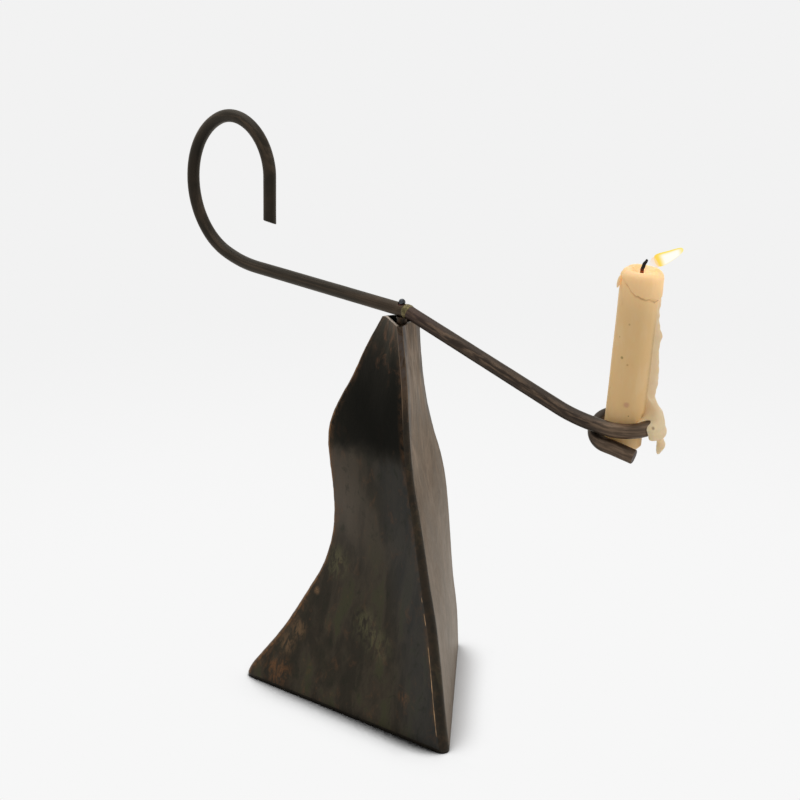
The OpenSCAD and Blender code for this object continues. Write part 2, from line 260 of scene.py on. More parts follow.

# %% [markdown]
# ## The white surround
#
# The photograph's ground is an even near-white. The world shows that colour to the camera and to
# reflections, and a weaker light to everything else. The floor is part paper and part plain
# glow, so that it stays as pale as the surround but keeps the soft shadow under the foot. That
# shadow is partly painted: the paper's colour darkens toward near-black where the foot hides it
# from the sky, more in front of the left face than beside the right one.

# %% World and floor
PAPER = tone(242, 242, 242)
WORLD_LIGHT = 0.5
FLOOR_SIZE = 3.0
FLOOR_DROP = 0.0002
CONTACT = 32


def seen_directly(finish):
    """1 for what the camera, a reflection or glass shows, 0 for light that falls on things."""
    ray = finish.node("LightPath", out="Is Camera Ray")
    nodes = ray.socket.node
    glossy = Wire(finish, nodes.outputs["Is Glossy Ray"])
    through = Wire(finish, nodes.outputs["Is Transmission Ray"])
    return ray.maths("MAXIMUM", ray.maths("MAXIMUM", ray, glossy), through)


world = bpy.data.worlds.new("paper_tent")
bpy.context.scene.world = world
world.use_nodes = True
sky = Finish.__new__(Finish)
sky.tree = world.node_tree
sky.tree.nodes.clear()
shown = seen_directly(sky)
glow = sky.node("Background", {}, {
    "Color": PAPER, "Strength": shown + (1 - shown) * WORLD_LIGHT})
sky_out = sky.tree.nodes.new("ShaderNodeOutputWorld")
sky.tree.links.new(glow.socket, sky_out.inputs["Surface"])


def floor_finish():
    f = Finish("paper_floor")
    away = f.node("VectorMath", {"operation": "LENGTH"}, {0: f.place()}, out="Value")
    east = f.node("SeparateXYZ", {}, {0: f.place()}, out=0)
    north = f.node("SeparateXYZ", {}, {0: f.place()}, out=1)
    beside = (0.127 * east - 40.3 - north).over(3, -3)
    open_sky = f.node("AmbientOcclusion", {"samples": 16}, {"Distance": CONTACT * MM}, out="AO")
    # Painted shadow: the paper's colour darkens toward near-black where ambient occlusion finds the foot close, less so
    # behind the left face's foot line.
    painted_shadow_hue = f.blend(tone(14, 13, 12), tone(238, 238, 238), (open_sky + 0.5 * beside).over(0.6, 0.86))
    paper = f.node("BsdfDiffuse", {}, {"Color": painted_shadow_hue})
    ground = f.blend(PAPER, tone(247, 247, 247), away.over(900, 250))
    plain = f.node("Emission", {}, {"Color": ground, "Strength": 1.0})
    # Near the foot the plain glow gives way to the paper, so that its real and painted shadow shows, more widely in
    # front of the left face.
    in_front = open_sky.over(0.65, 0.83) * 0.85 + open_sky.over(0.8, 1.0) * 0.15
    on_right = (open_sky + 0.06).over(0.6, 1.0)
    share = seen_directly(f) * (in_front * (1 - beside) + on_right * beside)
    f.node_output(f.node("MixShader", {}, {0: share, 1: paper, 2: plain}))
    return f.material


floor_mesh = bpy.data.meshes.new("floor")
half = FLOOR_SIZE / 2
floor_mesh.from_pydata(
    [(-half, -half, -FLOOR_DROP), (half, -half, -FLOOR_DROP),
     (half, half, -FLOOR_DROP), (-half, half, -FLOOR_DROP)], [], [(0, 1, 2, 3)])
floor_mesh.materials.append(floor_finish())
floor = bpy.data.objects.new("floor", floor_mesh)
bpy.context.scene.collection.objects.link(floor)
floor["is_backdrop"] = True
print("floor", FLOOR_SIZE, "m wide")

# %% [markdown]
# ## Steel
#
# Hot-rolled sheet that was heated, brushed and waxed goes nearly black, with brown and olive
# clouds, and the brushing leaves long streaks down the faces. Where hands and a grinder touch it,
# at the edges, brown comes back and then bare metal. The finish layers noises of three scales
# and takes the wear from a number that each mesh carries: how near a point is to an edge.

# %% Patina of the tower
NEARLY_BLACK = tone(34, 32, 26)
OLIVE = tone(62, 58, 42)
BROWN = tone(70, 54, 40)
RUST = tone(104, 74, 50)
BARE = tone(196, 178, 158)
WARM_SHEEN = (1.0, 0.92, 0.8)
# Heights in mm between which a scratch shows beside the front weld
SCRATCHES = [(9, 64), (75, 83), (88, 92)]
# Scuffs of the left face: where, how wide in mm, how strong and in which tone
TAN, OCHRE, MOSS = tone(150, 116, 84), tone(140, 92, 54), tone(122, 118, 82)
SCUFFS = [((-36.7, -18.9, 88), 15, 0.3, MOSS), ((-48.9, -25.3, 65.5), 4, 0.65, TAN),
          ((-56.8, -34.5, 38.5), 10, 0.4, TAN), ((-63, -38.9, 28), 10, 0.4, TAN),
          ((-65.1, -46.1, 10), 15, 0.45, OCHRE), ((-5.4, -27.3, 58), 15, 0.3, MOSS),
          ((8.6, -28.7, 50.5), 15, 0.25, MOSS), ((33, -31.8, 25), 6, 0.35, OCHRE)]


def patina(name, dark=NEARLY_BLACK, warm=BROWN, cool=OLIVE, wear_tone=RUST, wear_share=0.35,
           zones=None, rough=0.42, metal=0.55, gloss=0.5):
    """Clouds, streaks and wear. zones, where given, adds the broad tones of one face and says how
    dead its black is: nearly black metal has no sheen of its own."""
    f = Finish(name)
    clouds = f.noise(f.place((1, 1, 0.55)), 34, 5, 0.62, 0.8)
    streaks = f.noise(f.place((1, 1, 0.22)), 8, 5, 0.62, 0.9)
    brushed = f.noise(f.place((1, 1, 0.03)), 0.9, 2, 0.5)
    spots = f.noise(f.place(), 5.5, 5, 0.65, 0.8)
    colour = f.blend(dark, cool, (clouds * 0.6 + streaks * 0.4).over(0.48, 0.68) * 0.75)
    colour = f.blend(colour, warm, (spots * 0.55 + clouds * 0.45).over(0.52, 0.68) * 0.7)
    colour = f.blend(colour, f.blend(dark, (0, 0, 0), 0.4), streaks.over(0.5, 0.3) * 0.6)
    deep = 0.0
    if zones:
        height = f.node("SeparateXYZ", {}, {0: f.place()}, out=2)
        colour, deep = zones(f, colour, height, clouds, streaks)
    worn = f.painted("edge").over(4.5, 0.2) * (spots * 0.6 + streaks * 0.4).over(0.42, 0.6) * wear_share
    colour = f.blend(colour, wear_tone, worn)
    relief = clouds * 0.0004 + streaks * 0.00005 + brushed * 0.000012 + spots * 0.00005
    return f.coat(
        Base_Color=colour, Metallic=metal + (0.72 - metal) * deep,
        Roughness=rough + 0.16 * (spots - 0.5) + 0.14 * (brushed - 0.5),
        Specular_IOR_Level=gloss, Specular_Tint=WARM_SHEEN, Normal=f.bump(relief))


def near_point(f, centre, size):
    """1 at a point given in mm, falling to 0 at a distance."""
    gap = f.node("VectorMath", {"operation": "DISTANCE"}, {0: f.place(), 1: centre}, out="Value")
    return gap.over(size, size * 0.2)


def left_zones(f, colour, height, clouds, streaks):
    """A painted reflection of the floor in brown-grey below, a nearly black belt above, and a thin bright scratch
    beside the weld.
    """
    near = f.painted("front")
    mottle = f.noise(f.place((1, 1, 0.6)), 7, 5, 0.68, 0.5)
    smear = f.noise(f.place((1, 1, 0.3)), 16, 4, 0.6, 0.4)
    # Painted reflection: below about 165 mm the floor's reflection in the sheet is painted in as brown-grey and grey
    # tones, mottled like the patina.
    low = (height + 40 * (clouds - 0.5)).over(172, 156)
    colour = f.blend(colour, tone(66, 58, 47), low * (0.3 + 0.5 * smear.over(0.42, 0.6)))
    colour = f.blend(colour, tone(58, 60, 38), smear.over(0.54, 0.66) * height.over(130, 60) * 0.6)
    colour = f.blend(colour, tone(48, 52, 54), near.over(36, 12) * low * 0.45)
    colour = f.blend(colour, tone(90, 80, 70), low * near.over(28, 62) * height.over(90, 130) * 0.6)
    colour = f.blend(colour, tone(92, 66, 46), mottle.over(0.54, 0.72) * (0.35 + 0.3 * near.over(60, 110)))
    colour = f.blend(colour, tone(24, 30, 18), mottle.over(0.46, 0.3) * 0.5)
    belt = (height + 30 * (clouds - 0.5)).over(158, 176) * (height + 16 * (mottle - 0.5)).over(238, 220)
    colour = f.blend(colour, tone(7, 8, 6), belt * (0.97 - 0.33 * near.over(34, 60)))
    colour = f.blend(colour, tone(10, 9, 7), height.over(226, 240) * 0.45)
    tan = (height + 30 * (mottle - 0.5)).over(212, 226) * (mottle * 0.5 + smear * 0.5).over(0.5, 0.62)
    colour = f.blend(colour, tone(88, 60, 42), tan * near.over(30, 16) * 0.75)
    rubbed = f.noise(f.place((1, 1, 0.35)), 4, 5, 0.7, 0.9).over(0.4, 0.62)
    for centre, size, share, rub in SCUFFS:
        colour = f.blend(colour, rub, near_point(f, centre, size) * rubbed * share)
    line = near.over(0.5, 0.7) * near.over(1.2, 0.9)
    shown = sum((height.over(low, low + 2) * height.over(high, high - 2) for low, high in SCRATCHES), 0.0)
    colour = f.blend(colour, tone(214, 172, 128), line * shown * (0.35 + mottle.over(0.4, 0.6) * 0.6))
    return colour, (height + 30 * (clouds - 0.5)).over(158, 176) * (1 - 0.5 * near.over(34, 60))


def right_zones(f, colour, height, clouds, streaks):
    """Long beige and blue-grey streaks, paler toward the top."""
    fine = f.noise(f.place((1, 1, 0.12)), 3.2, 4, 0.6, 0.9)
    broad = f.noise(f.place((1, 1, 0.4)), 12, 5, 0.62, 0.8)
    rubbed = f.noise(f.place((1, 1, 0.06)), 1.6, 4, 0.65, 0.4)
    colour = f.blend(colour, tone(150, 128, 110), (fine * 0.25 + broad * 0.75).over(0.48, 0.66) * 0.45)
    colour = f.blend(colour, tone(72, 70, 70), (fine * 0.3 + broad * 0.7).over(0.5, 0.36) * 0.5)
    colour = f.blend(colour, tone(58, 48, 40), rubbed.over(0.5, 0.34) * 0.25)
    colour = f.blend(colour, tone(60, 48, 38), f.painted("edge").over(4, 0.5) * broad.over(0.6, 0.4) * 0.6)
    beside = f.painted("edge").over(6, 1) * height.over(150, 205)
    colour = f.blend(colour, tone(88, 90, 94), beside * 0.7)
    pale = height.over(170, 215) * fine.over(0.4, 0.6)
    colour = f.blend(colour, tone(156, 142, 130), pale * 0.35)
    streak = near_point(f, (63.5, -9.5, 72), 9) * fine.over(0.45, 0.6)
    colour = f.blend(colour, tone(200, 140, 90), streak * 0.7)
    return f.blend(colour, tone(56, 38, 26), 0.5 * height.over(185, 120)), 0.0


def cut_steel():
    """The bare edge that the grinder left round the mouth."""
    f = Finish("cut_edge_steel")
    grain = f.noise(f.place(), 1.1, 3, 0.6)
    colour = f.blend(BARE, BROWN, grain.over(0.5, 0.68) * 0.7)
    return f.coat(Base_Color=colour, Metallic=0.7, Roughness=0.35 + 0.2 * grain,
                  Normal=f.bump(grain * 0.00005))


# Painted light and shade: besides their own patina, the left and back faces get darker tones than the right face, which
# paints the shade on the side away from the light, and the right face's paler tones paint the light that falls on it.
FACE_LEFT_FINISH = patina("patina_face_left", dark=tone(26, 24, 18), warm=tone(52, 42, 32), cool=tone(44, 42, 30),
                          zones=left_zones, metal=0.4, gloss=0.2)
FACE_RIGHT_FINISH = patina("patina_face_right", dark=tone(96, 80, 66), warm=tone(118, 96, 78),
                           cool=tone(104, 90, 78), wear_tone=tone(62, 50, 42), zones=right_zones,
                           rough=0.4, metal=0.8, gloss=0.3)
FACE_BACK_FINISH = patina("patina_face_back", dark=tone(26, 24, 18), warm=tone(52, 42, 32), cool=tone(44, 42, 30),
                          metal=0.4, gloss=0.2)


def weld_zones(f, colour, height, clouds, streaks):
    """Brown with two thin paler lines near the top, dark lower down."""
    colour = f.blend(colour, tone(84, 66, 50), (height + 20 * (clouds - 0.5)).over(190, 210) * 0.8)
    bead = f.noise(f.place((1, 1, 0.5)), 4, 5, 0.7, 0.8)
    colour = f.blend(colour, tone(26, 22, 18), bead.over(0.52, 0.36) * height.over(150, 200) * 0.85)
    colour = f.blend(colour, tone(104, 72, 48), bead.over(0.56, 0.7) * height.over(150, 200) * 0.5)
    lines = f.painted("edge").over(1.5, 1.2) * f.painted("edge").over(0.6, 0.9)
    colour = f.blend(colour, tone(70, 72, 76), bead.over(0.45, 0.6) * height.over(205, 225) * 0.5)
    return f.blend(colour, tone(134, 110, 86), lines * height.over(185, 205) * 0.7), 0.0


WELD_FINISH = patina("patina_welds", dark=tone(34, 29, 22), warm=tone(70, 54, 38), wear_tone=tone(80, 60, 42),
                     zones=weld_zones, wear_share=0.3, rough=0.46, metal=0.4, gloss=0.3)
# The left weld stands at the tower's left edge; its strong orange-brown wear is partly real wear and partly a painted
# highlight along that lit edge.
LEFT_WELD_FINISH = patina("patina_left_weld", dark=tone(64, 44, 26), warm=tone(118, 78, 42), cool=tone(84, 62, 36),
                          wear_tone=tone(150, 104, 60), wear_share=0.5, rough=0.42, metal=0.4, gloss=0.3)
CUT_FINISH = cut_steel()
DULL_CUT_FINISH = patina("dull_cut_edge", warm=tone(110, 70, 42))
print("steel finishes:", [m.name for m in bpy.data.materials])

# %% [markdown]
# ## One way to make every mesh
#
# A piece is a list of points in millimetres, its faces, and numbers that its finish reads at each
# point. `piece` makes the mesh, shades it smooth with sharp edges kept, and lets it ride on its
# CAD body. It also hides the CAD node that it stands for.

# %% Mesh helpers
SHARP = radians(38)
MADE = []


def piece(name, points, faces, finishes, body, node=None, paint=None, sharp=SHARP):
    mesh = bpy.data.meshes.new(name)
    mesh.from_pydata([tuple(v * MM for v in p) for p in points], [], faces)
    for finish in finishes if isinstance(finishes, (list, tuple)) else [finishes]:
        mesh.materials.append(finish)
    for key, values in (paint or {}).items():
        mesh.attributes.new(key, "FLOAT", "POINT").data.foreach_set("value", np.asarray(values, dtype=float))
    mesh.polygons.foreach_set("use_smooth", [True] * len(mesh.polygons))
    mesh.set_sharp_from_angle(angle=sharp)
    made = bpy.data.objects.new(name, mesh)
    bpy.context.scene.collection.objects.link(made)
    if body:
        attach(made, body)
    if node:
        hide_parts(node)
    MADE.append(made)
    return made


def tube_faces(rings, sides, first_cap=True, last_cap=True):
    """Faces of a closed skin over rings of points, each turning the same way."""
    faces = []
    for k in range(rings - 1):
        for j in range(sides):
            a, b = k * sides + j, k * sides + (j + 1) % sides
            faces.append((a, b, b + sides, a + sides))
    if first_cap:
        faces.append(tuple(reversed(range(sides))))
    if last_cap:
        faces.append(tuple((rings - 1) * sides + j for j in range(sides)))
    return faces


def ripple(x, y, seed=0.0):
    """Smooth irregular wave between about -1 and 1, the same on each run."""
    return (sin(1.0 * x + 2.1 * y + seed) + sin(-1.7 * x + 0.9 * y + 1.3 * seed + 1)
            + sin(2.6 * x + 1.9 * y + 2.7 * seed + 2) * 0.6 + sin(0.6 * x - 2.9 * y + seed * 0.7 + 4) * 0.6) / 3.2


def smooth(t):
    t = min(max(t, 0.0), 1.0)
    return t * t * (3 - 2 * t)


def curve_at(points, x):
    """Smooth curve through (x, y) points, whose slope at a point is that between its neighbours."""
    last = len(points) - 1
    i = max([k for k in range(last) if points[k][0] <= x], default=0)

    def slope(k):
        a, b = points[max(k - 1, 0)], points[min(k + 1, last)]
        return (b[1] - a[1]) / (b[0] - a[0])

    wide = points[i + 1][0] - points[i][0]
    t = (x - points[i][0]) / wide
    return ((2 * t**3 - 3 * t**2 + 1) * points[i][1] + (t**3 - 2 * t**2 + t) * wide * slope(i)
            + (3 * t**2 - 2 * t**3) * points[i + 1][1] + (t**3 - t**2) * wide * slope(i + 1))


print("a smooth curve at 5 between (0, 0) and (10, 1):", curve_at([(0, 0), (10, 1)], 5))

# %% [markdown]
# ## The tower
#
# Each face is one sheet, cut to a freehand outline, curved a little and welded to its neighbours
# along the edges. The outlines are the CAD model's: how far each corner stands out at a height.
# A fine grid over each face lets the sheet swell and sink by a few tenths of a millimetre, as
# heated sheet does. That barely shows as shape, but it bends the reflections.

# %% Section of the tower
TOWER_H = 248.6
SHEET_T = 1.6
BASE_T = 2.0
FOOT_ROUND = 4.0
MOUTH_ROUND = 2.0
MOUTH = np.array([(-19.1, 4.8), (5.8, -8.4), (1.0, 13.7)])
FOOT = np.array([(-89.3, -50.8), (66.1, -31.6), (-18.7, 75.4)])
OUTLINES = [
    [(0, 91.2), (6, 88.7), (12, 84.4), (20, 78.1), (30, 70.4), (42, 62.1), (62, 50.4), (82, 39.5),
     (104, 33.1), (120, 31.8), (136, 32.4), (152, 33.9), (166, 35), (180, 33.3), (194, 27.6),
     (210, 19), (228, 11), (248.6, 0)],
    [(0, 65.3), (24, 58.9), (52, 52.6), (76, 45.9), (96, 37.9), (116, 31), (136, 23.8), (154, 16.6),
     (172, 12.4), (190, 9.7), (216, 7), (248.6, 0)],
    [(0, 61.5), (30, 58.3), (60, 51), (90, 46), (112, 42.6), (134, 37.8), (152, 30.9), (172, 20.3),
     (196, 9.7), (222, 3), (248.6, 0)]]
LEFT, FRONT, REAR = range(3)


def unit(v):
    return v / np.linalg.norm(v)


class Section:
    """The tower cut level at a height: its three corners, their angles and their rounding."""

    def __init__(self, z):
        self.z = z
        self.round = FOOT_ROUND + (MOUTH_ROUND - FOOT_ROUND) * z / TOWER_H
        seen = [MOUTH[c] + unit(FOOT[c] - MOUTH[c]) * curve_at(OUTLINES[c], z) for c in range(3)]
        self.corner = [
            p - self.inner(seen, c) * self.round * (1 / sin(self.half(seen, c)) - 1)
            for c, p in enumerate(seen)]

    @staticmethod
    def ways(p, c):
        return unit(p[(c + 1) % 3] - p[c]), unit(p[(c + 2) % 3] - p[c])

    def half(self, p, c):
        u, v = self.ways(p, c)
        return np.arccos(np.dot(u, v)) / 2

    def inner(self, p, c):
        u, v = self.ways(p, c)
        return unit(u + v)

    def inward(self, c):
        """The way into the tower, square to the face that starts at corner c."""
        u = self.ways(self.corner, c)[0]
        return np.array((-u[1], u[0]))

    def ends(self, c):
        """Both ends of that face on its outside, where the rounded welds begin."""
        n = (c + 1) % 3
        along = self.ways(self.corner, c)[0]
        return (self.corner[c] + along * self.round / tan(self.half(self.corner, c)),
                self.corner[n] - along * self.round / tan(self.half(self.corner, n)))


print("mouth is", round(float(np.linalg.norm(MOUTH[LEFT] - MOUTH[FRONT])), 1), "mm along its left face")

# %% Ground top of the mouth
KINK_X = 4.6
KINK_Z = TOWER_H + 7.3
BAR_R = 4.0
SLOPE = radians(15.4)
SWING_GAP = 0.3


def under_bar(x, y):
    """How high the mouth may stand there, so that the sloping bar swings over it."""
    return KINK_Z - (hypot(x, y) - KINK_X) * tan(SLOPE) - BAR_R / cos(SLOPE) - SWING_GAP


def ground(low, high):
    """The point high, brought down toward low until the bar clears it."""
    a = low[2] - under_bar(low[0], low[1])
    b = high[2] - under_bar(high[0], high[1])
    return high if b <= 0 else low + (high - low) * a / (a - b)


ROWS = 130
HEIGHTS = [BASE_T + (TOWER_H - BASE_T) * k / ROWS for k in range(ROWS + 1)]
SECTIONS = [Section(z) for z in HEIGHTS]


def swell(c, u, across, z):
    """How far the sheet stands out of true at a share u across the face, in mm."""
    fade = smooth(min(u, 1 - u) * across / 14) * smooth((z - BASE_T) / 16) * smooth((TOWER_H - z) / 22)
    return fade * (0.5 * ripple(u * 3.1, z / 38, 1.7 * c) + 0.16 * ripple(u * 7, z / 13, 3.1 * c + 1))


print("rows of the tower:", ROWS)

# %% [markdown]
# A face is a closed shell: an outer and an inner grid, joined round the rim. The rim at the mouth
# is where the sheet was cut and ground: bare on the left face, dulled again on the others.

# %% Faces of the tower
STRIPS = 26


def face_shell(name, c, finish, rim):
    grids = [[], []]
    edge, front = [], []
    for section in SECTIONS:
        a, b = section.ends(c)
        way = section.inward(c)
        across = np.linalg.norm(b - a)
        for side, grid in enumerate(grids):
            row = []
            for j in range(STRIPS + 1):
                u = (1 - cos(pi * j / STRIPS)) / 2 * 0.5 + j / STRIPS * 0.5
                p = a + (b - a) * u + way * (SHEET_T * side - swell(c, u, across, section.z))
                row.append(np.array((p[0], p[1], section.z)))
                edge.append(min(u, 1 - u) * across)
                front.append((1 - u) * across)
            grid.append(row)
    wide = STRIPS + 1
    for grid in grids:
        grid[-1] = [ground(low, high) for low, high in zip(grid[-2], grid[-1])]
    points = [p for k in range(ROWS + 1) for grid in grids for p in grid[k]]

    def at(side, k, j):
        return (2 * k + side) * wide + j

    faces, slots = [], []
    for k in range(ROWS):
        for j in range(STRIPS):
            faces.append((at(0, k, j), at(0, k, j + 1), at(0, k + 1, j + 1), at(0, k + 1, j)))
            faces.append((at(1, k, j), at(1, k + 1, j), at(1, k + 1, j + 1), at(1, k, j + 1)))
        faces.append((at(0, k, 0), at(0, k + 1, 0), at(1, k + 1, 0), at(1, k, 0)))
        faces.append((at(0, k, STRIPS), at(1, k, STRIPS), at(1, k + 1, STRIPS), at(0, k + 1, STRIPS)))
    for j in range(STRIPS):
        faces.append((at(0, 0, j), at(1, 0, j), at(1, 0, j + 1), at(0, 0, j + 1)))
    top = len(faces)
    for j in range(STRIPS):
        faces.append((at(0, ROWS, j), at(0, ROWS, j + 1), at(1, ROWS, j + 1), at(1, ROWS, j)))
    made = piece("sheet_" + name, points, faces, [finish, rim], "base", name,
                 {"edge": edge, "front": front})
    for polygon in made.data.polygons[top:]:
        polygon.material_index = 1
    return made


face_shell("face_left", LEFT, FACE_LEFT_FINISH, CUT_FINISH)
face_shell("face_right", FRONT, FACE_RIGHT_FINISH, DULL_CUT_FINISH)
face_shell("face_back", REAR, FACE_BACK_FINISH, DULL_CUT_FINISH)
print("faces:", [o.name for o in MADE])

# %% [markdown]
# The welds close the three edges. On the real tower they were ground round and brushed, and a
# faint row of lumps from the bead is left. Each is a strip with a round outside, following the
# corner, whose radius wanders by a tenth of a millimetre, and a flat inside.

# %% Welds
ARC_STEPS = 12


def weld(name, c, seed, finish=WELD_FINISH):
    rings, paint = [], []
    for section in SECTIONS:
        p = (c + 2) % 3
        q, r = section.corner, section.round
        h = section.half(q, c)
        centre = q[c] + section.inner(q, c) * r / sin(h)
        first, second = -section.inward(p), -section.inward(c)
        a = atan2(first[1], first[0])
        sweep = (atan2(second[1], second[0]) - a) % (2 * pi)
        ring = []
        fade = smooth((section.z - BASE_T) / 5) * smooth((TOWER_H - section.z) / 6)
        for i in range(ARC_STEPS + 1):
            t = a + sweep * i / ARC_STEPS
            bead = sin(pi * i / ARC_STEPS) * fade * (
                0.14 * ripple(section.z / 1.9, 0.8 * i / ARC_STEPS, seed) + 0.12 * ripple(section.z / 9, 0, seed))
            ring.append(centre + (r + bead) * np.array((cos(t), sin(t))))
            paint.append(2.2 * sin(pi * i / ARC_STEPS) ** 0.5)
        ring += [section.ends(c)[0] + section.inward(c) * SHEET_T,
                 section.ends(p)[1] + section.inward(p) * SHEET_T]
        paint += [9.0] * 2
        rings.append([np.array((x, y, section.z)) for x, y in ring])
    rings[-1] = [ground(low, high) for low, high in zip(rings[-2], rings[-1])]
    n = len(rings[0])
    faces = tube_faces(len(rings), n, False, False)
    hub = ARC_STEPS + 1
    for base, flip in ((0, True), ((len(rings) - 1) * n, False)):
        for j in range(n):
            k = (j + 1) % n
            if hub not in (j, k):
                cap = (base + hub, base + j, base + k)
                faces.append(tuple(reversed(cap)) if flip else cap)
    made = piece("weld_" + name, [p for ring in rings for p in ring], faces, [finish, DULL_CUT_FINISH],
                 "base", name, {"edge": paint, "front": [9.0] * (n * len(rings))})
    for polygon in made.data.polygons[-(n - 2):]:
        polygon.material_index = 1
    return made


weld("seam_front", FRONT, 0.4)
weld("seam_left", LEFT, 2.3, LEFT_WELD_FINISH)
weld("seam_rear", REAR, 4.1)
print("welds:", [o.name for o in MADE[-3:]])

# %% [markdown]
# ## The arm
#
# Both bars are round 8 mm rod, bent hot. A bar is swept along its path: at each station of the
# path a ring of points stands square to the way ahead. The mesh also carries how far along the
# bar a point is and how far round it, so that the finish can run its streaks along the bar.

# %% Sweeping a bar
BAR_SIDES = 40


def heading(path, i):
    ahead = path[min(i + 1, len(path) - 1)] - path[i] if i < len(path) - 1 else path[i] - path[i - 1]
    behind = path[i] - path[i - 1] if i else ahead
    return unit(unit(ahead) + unit(behind))


def sweep_bar(name, path, side_of, radius_of, finishes, body, node, bevel=(0.35, 0.35), slant=0.0):
    """A rod along path. bevel rounds off its two cut ends, and slant tilts the last one along Y."""
    along = np.concatenate([[0], np.cumsum([np.linalg.norm(b - a) for a, b in zip(path, path[1:])])])
    rings, way_along, way_round = [], [], []

    def ring(at, ahead, side, radius, s):
        up = np.cross(ahead, side)
        for j in range(BAR_SIDES):
            t = 2 * pi * j / BAR_SIDES
            rings.append(at + radius(s, t) * (cos(t) * side + sin(t) * up))
            way_along.append(s)
            way_round.append(up[2] * sin(t) + side[2] * cos(t))

    count = 0
    for i, at in enumerate(path):
        ahead = heading(path, i)
        side = side_of(path, i)
        first, last = i == 0, i == len(path) - 1
        if first and bevel[0]:
            ring(at, ahead, side, lambda s, t: radius_of(s, t) - bevel[0], along[i])
            ring(at + ahead * bevel[0], ahead, side, radius_of, along[i])
            count += 2
        elif last and bevel[1]:
            ring(at - ahead * bevel[1], ahead, side, radius_of, along[i])
            ring(at, ahead, side, lambda s, t: radius_of(s, t) - bevel[1], along[i])
            count += 2
        else:
            ring(at, ahead, side, radius_of, along[i])
            count += 1
    for k in range(-2 * BAR_SIDES, 0):
        rings[k] = rings[k] - np.array((0, 0, rings[k][1] * tan(slant)))
    faces = tube_faces(count, BAR_SIDES)
    made = piece(name, rings, faces, finishes, body, node,
                 {"along": way_along, "upward": way_round}, radians(30))
    for cap in (-2, -1):
        made.data.polygons[cap].material_index = 1
    return made


def forged(s, t):
    """Radius of the rod, with the faint flats that bending and hammering leave."""
    return BAR_R + 0.035 * ripple(s / 17, 2 * t, 1.0) + 0.02 * ripple(s / 4.5, 3 * t, 2.0)


print("radius at one place:", round(forged(10, 1), 3), "mm")

# %% [markdown]
# Bar stock keeps its mill scale: dark grey-brown, and browner near the joint, where the torch
# passed. On top of that, a paler streak along the upper side is a painted highlight, and the
# darker underside is painted shade. The streaks must follow the bends, so the finish builds its
# own coordinates from the two numbers that the mesh carries.

# %% Finish of the bars
def bar_finish(name, dark, light, warm, heat_from, heat_to, ring=None):
    f = Finish(name)
    along = f.painted("along")
    upward = f.painted("upward")
    flow = f.node("CombineXYZ", {}, {0: along * 0.03, 1: upward * 2.4, 2: 0.0})
    body = f.place()
    mixed = f.node("VectorMath", {"operation": "MULTIPLY_ADD"}, {0: body, 1: (0.04, 0.04, 0.04), 2: flow})
    streaks = f.noise(mixed, 0.8, 5, 0.6)
    clouds = f.noise(body, 22, 3, 0.5, 0.4)
    pits = f.noise(body, 0.9, 3, 0.6)
    # Painted highlight: rubbed is a paler band along the upper side of the bar, where light falls.
    rubbed = upward.over(-0.1, 0.35) * upward.over(0.95, 0.55)
    colour = f.blend(dark, light, (streaks * 0.75 + clouds * 0.25).over(0.42, 0.62) * (0.3 + 0.7 * rubbed))
    # Painted shade on the underside of the bar.
    colour = f.blend(colour, f.blend(dark, (0, 0, 0), 0.6), upward.over(-0.1, -0.8))
    colour = f.blend(colour, f.blend(dark, (0, 0, 0), 0.5), upward.over(0.6, 0.95) * (0.35 if ring else 0.95))
    heat = along.over(heat_from, heat_to)
    colour = f.blend(colour, warm, heat * (0.45 + 0.9 * clouds.over(0.4, 0.65)) * 0.75)
    if not ring:
        colour = f.blend(colour, tone(26, 23, 19), along.over(165, 185) * along.over(262, 240) * 0.45)
    if ring:
        # Paler tone on the wound pass and its tail: partly rubbed metal, partly a painted highlight.
        wound = along.over(138, 152) * along.over(196, 180) + along.over(232, 246) * 0.9
        colour = f.blend(colour, ring, wound * (0.35 + 0.5 * streaks.over(0.45, 0.6)))
        # Painted shade: the ring's lower pass, under the upper pass and in the wax, is darker, least on its highlight
        # band.
        colour = f.blend(colour, tone(40, 32, 26), along.over(190, 206) * along.over(250, 234) * (0.55 - 0.45 * rubbed))
    colour = f.blend(colour, tone(26, 22, 18), pits.over(0.62, 0.74) * 0.4)
    return f.coat(
        Base_Color=colour, Metallic=0.6, Roughness=0.4 + 0.3 * (streaks - 0.35), Specular_IOR_Level=0.35,
        Specular_Tint=WARM_SHEEN, Normal=f.bump(pits * 0.00002 + streaks * 0.00005 + clouds * 0.0001))


HOOK_FINISH = bar_finish("scaled_hook_bar", tone(38, 33, 26), tone(72, 60, 48), tone(78, 62, 48), 40, 4)
CANDLE_BAR_FINISH = bar_finish("scaled_candle_bar", tone(48, 39, 33), tone(106, 88, 72), tone(66, 48, 46), 34, 3,
                               tone(118, 98, 80))


def sawn_end():
    f = Finish("sawn_bar_end")
    marks = f.noise(f.place((1, 1, 0.2)), 0.7, 3, 0.6)
    colour = f.blend(tone(88, 70, 58), tone(42, 30, 24), marks.over(0.4, 0.6))
    return f.coat(Base_Color=colour, Metallic=0.6, Roughness=0.45 + 0.25 * marks, Normal=f.bump(marks * 0.00005))


END_FINISH = sawn_end()
print("bar finishes:", HOOK_FINISH.name, CANDLE_BAR_FINISH.name, END_FINISH.name)

# %% [markdown]
# The hook's path lies in one upright plane: a straight run from the joint, then four bends of
# different radii, each turning the same way, and a straight tip that hangs down and is cut aslant.

# %% Path of the hook bar
HOOK_RISE = radians(1)
KINK_HALF = 1.7
HOOK_STRAIGHT = 132.4
HOOK_BENDS = [(98.7, 17.8), (44.1, 67.6), (47.8, 71.7), (32.8, 114.3)]
HOOK_TIP = 28.6
HOOK_SLANT = radians(24)
STEP = 1.6


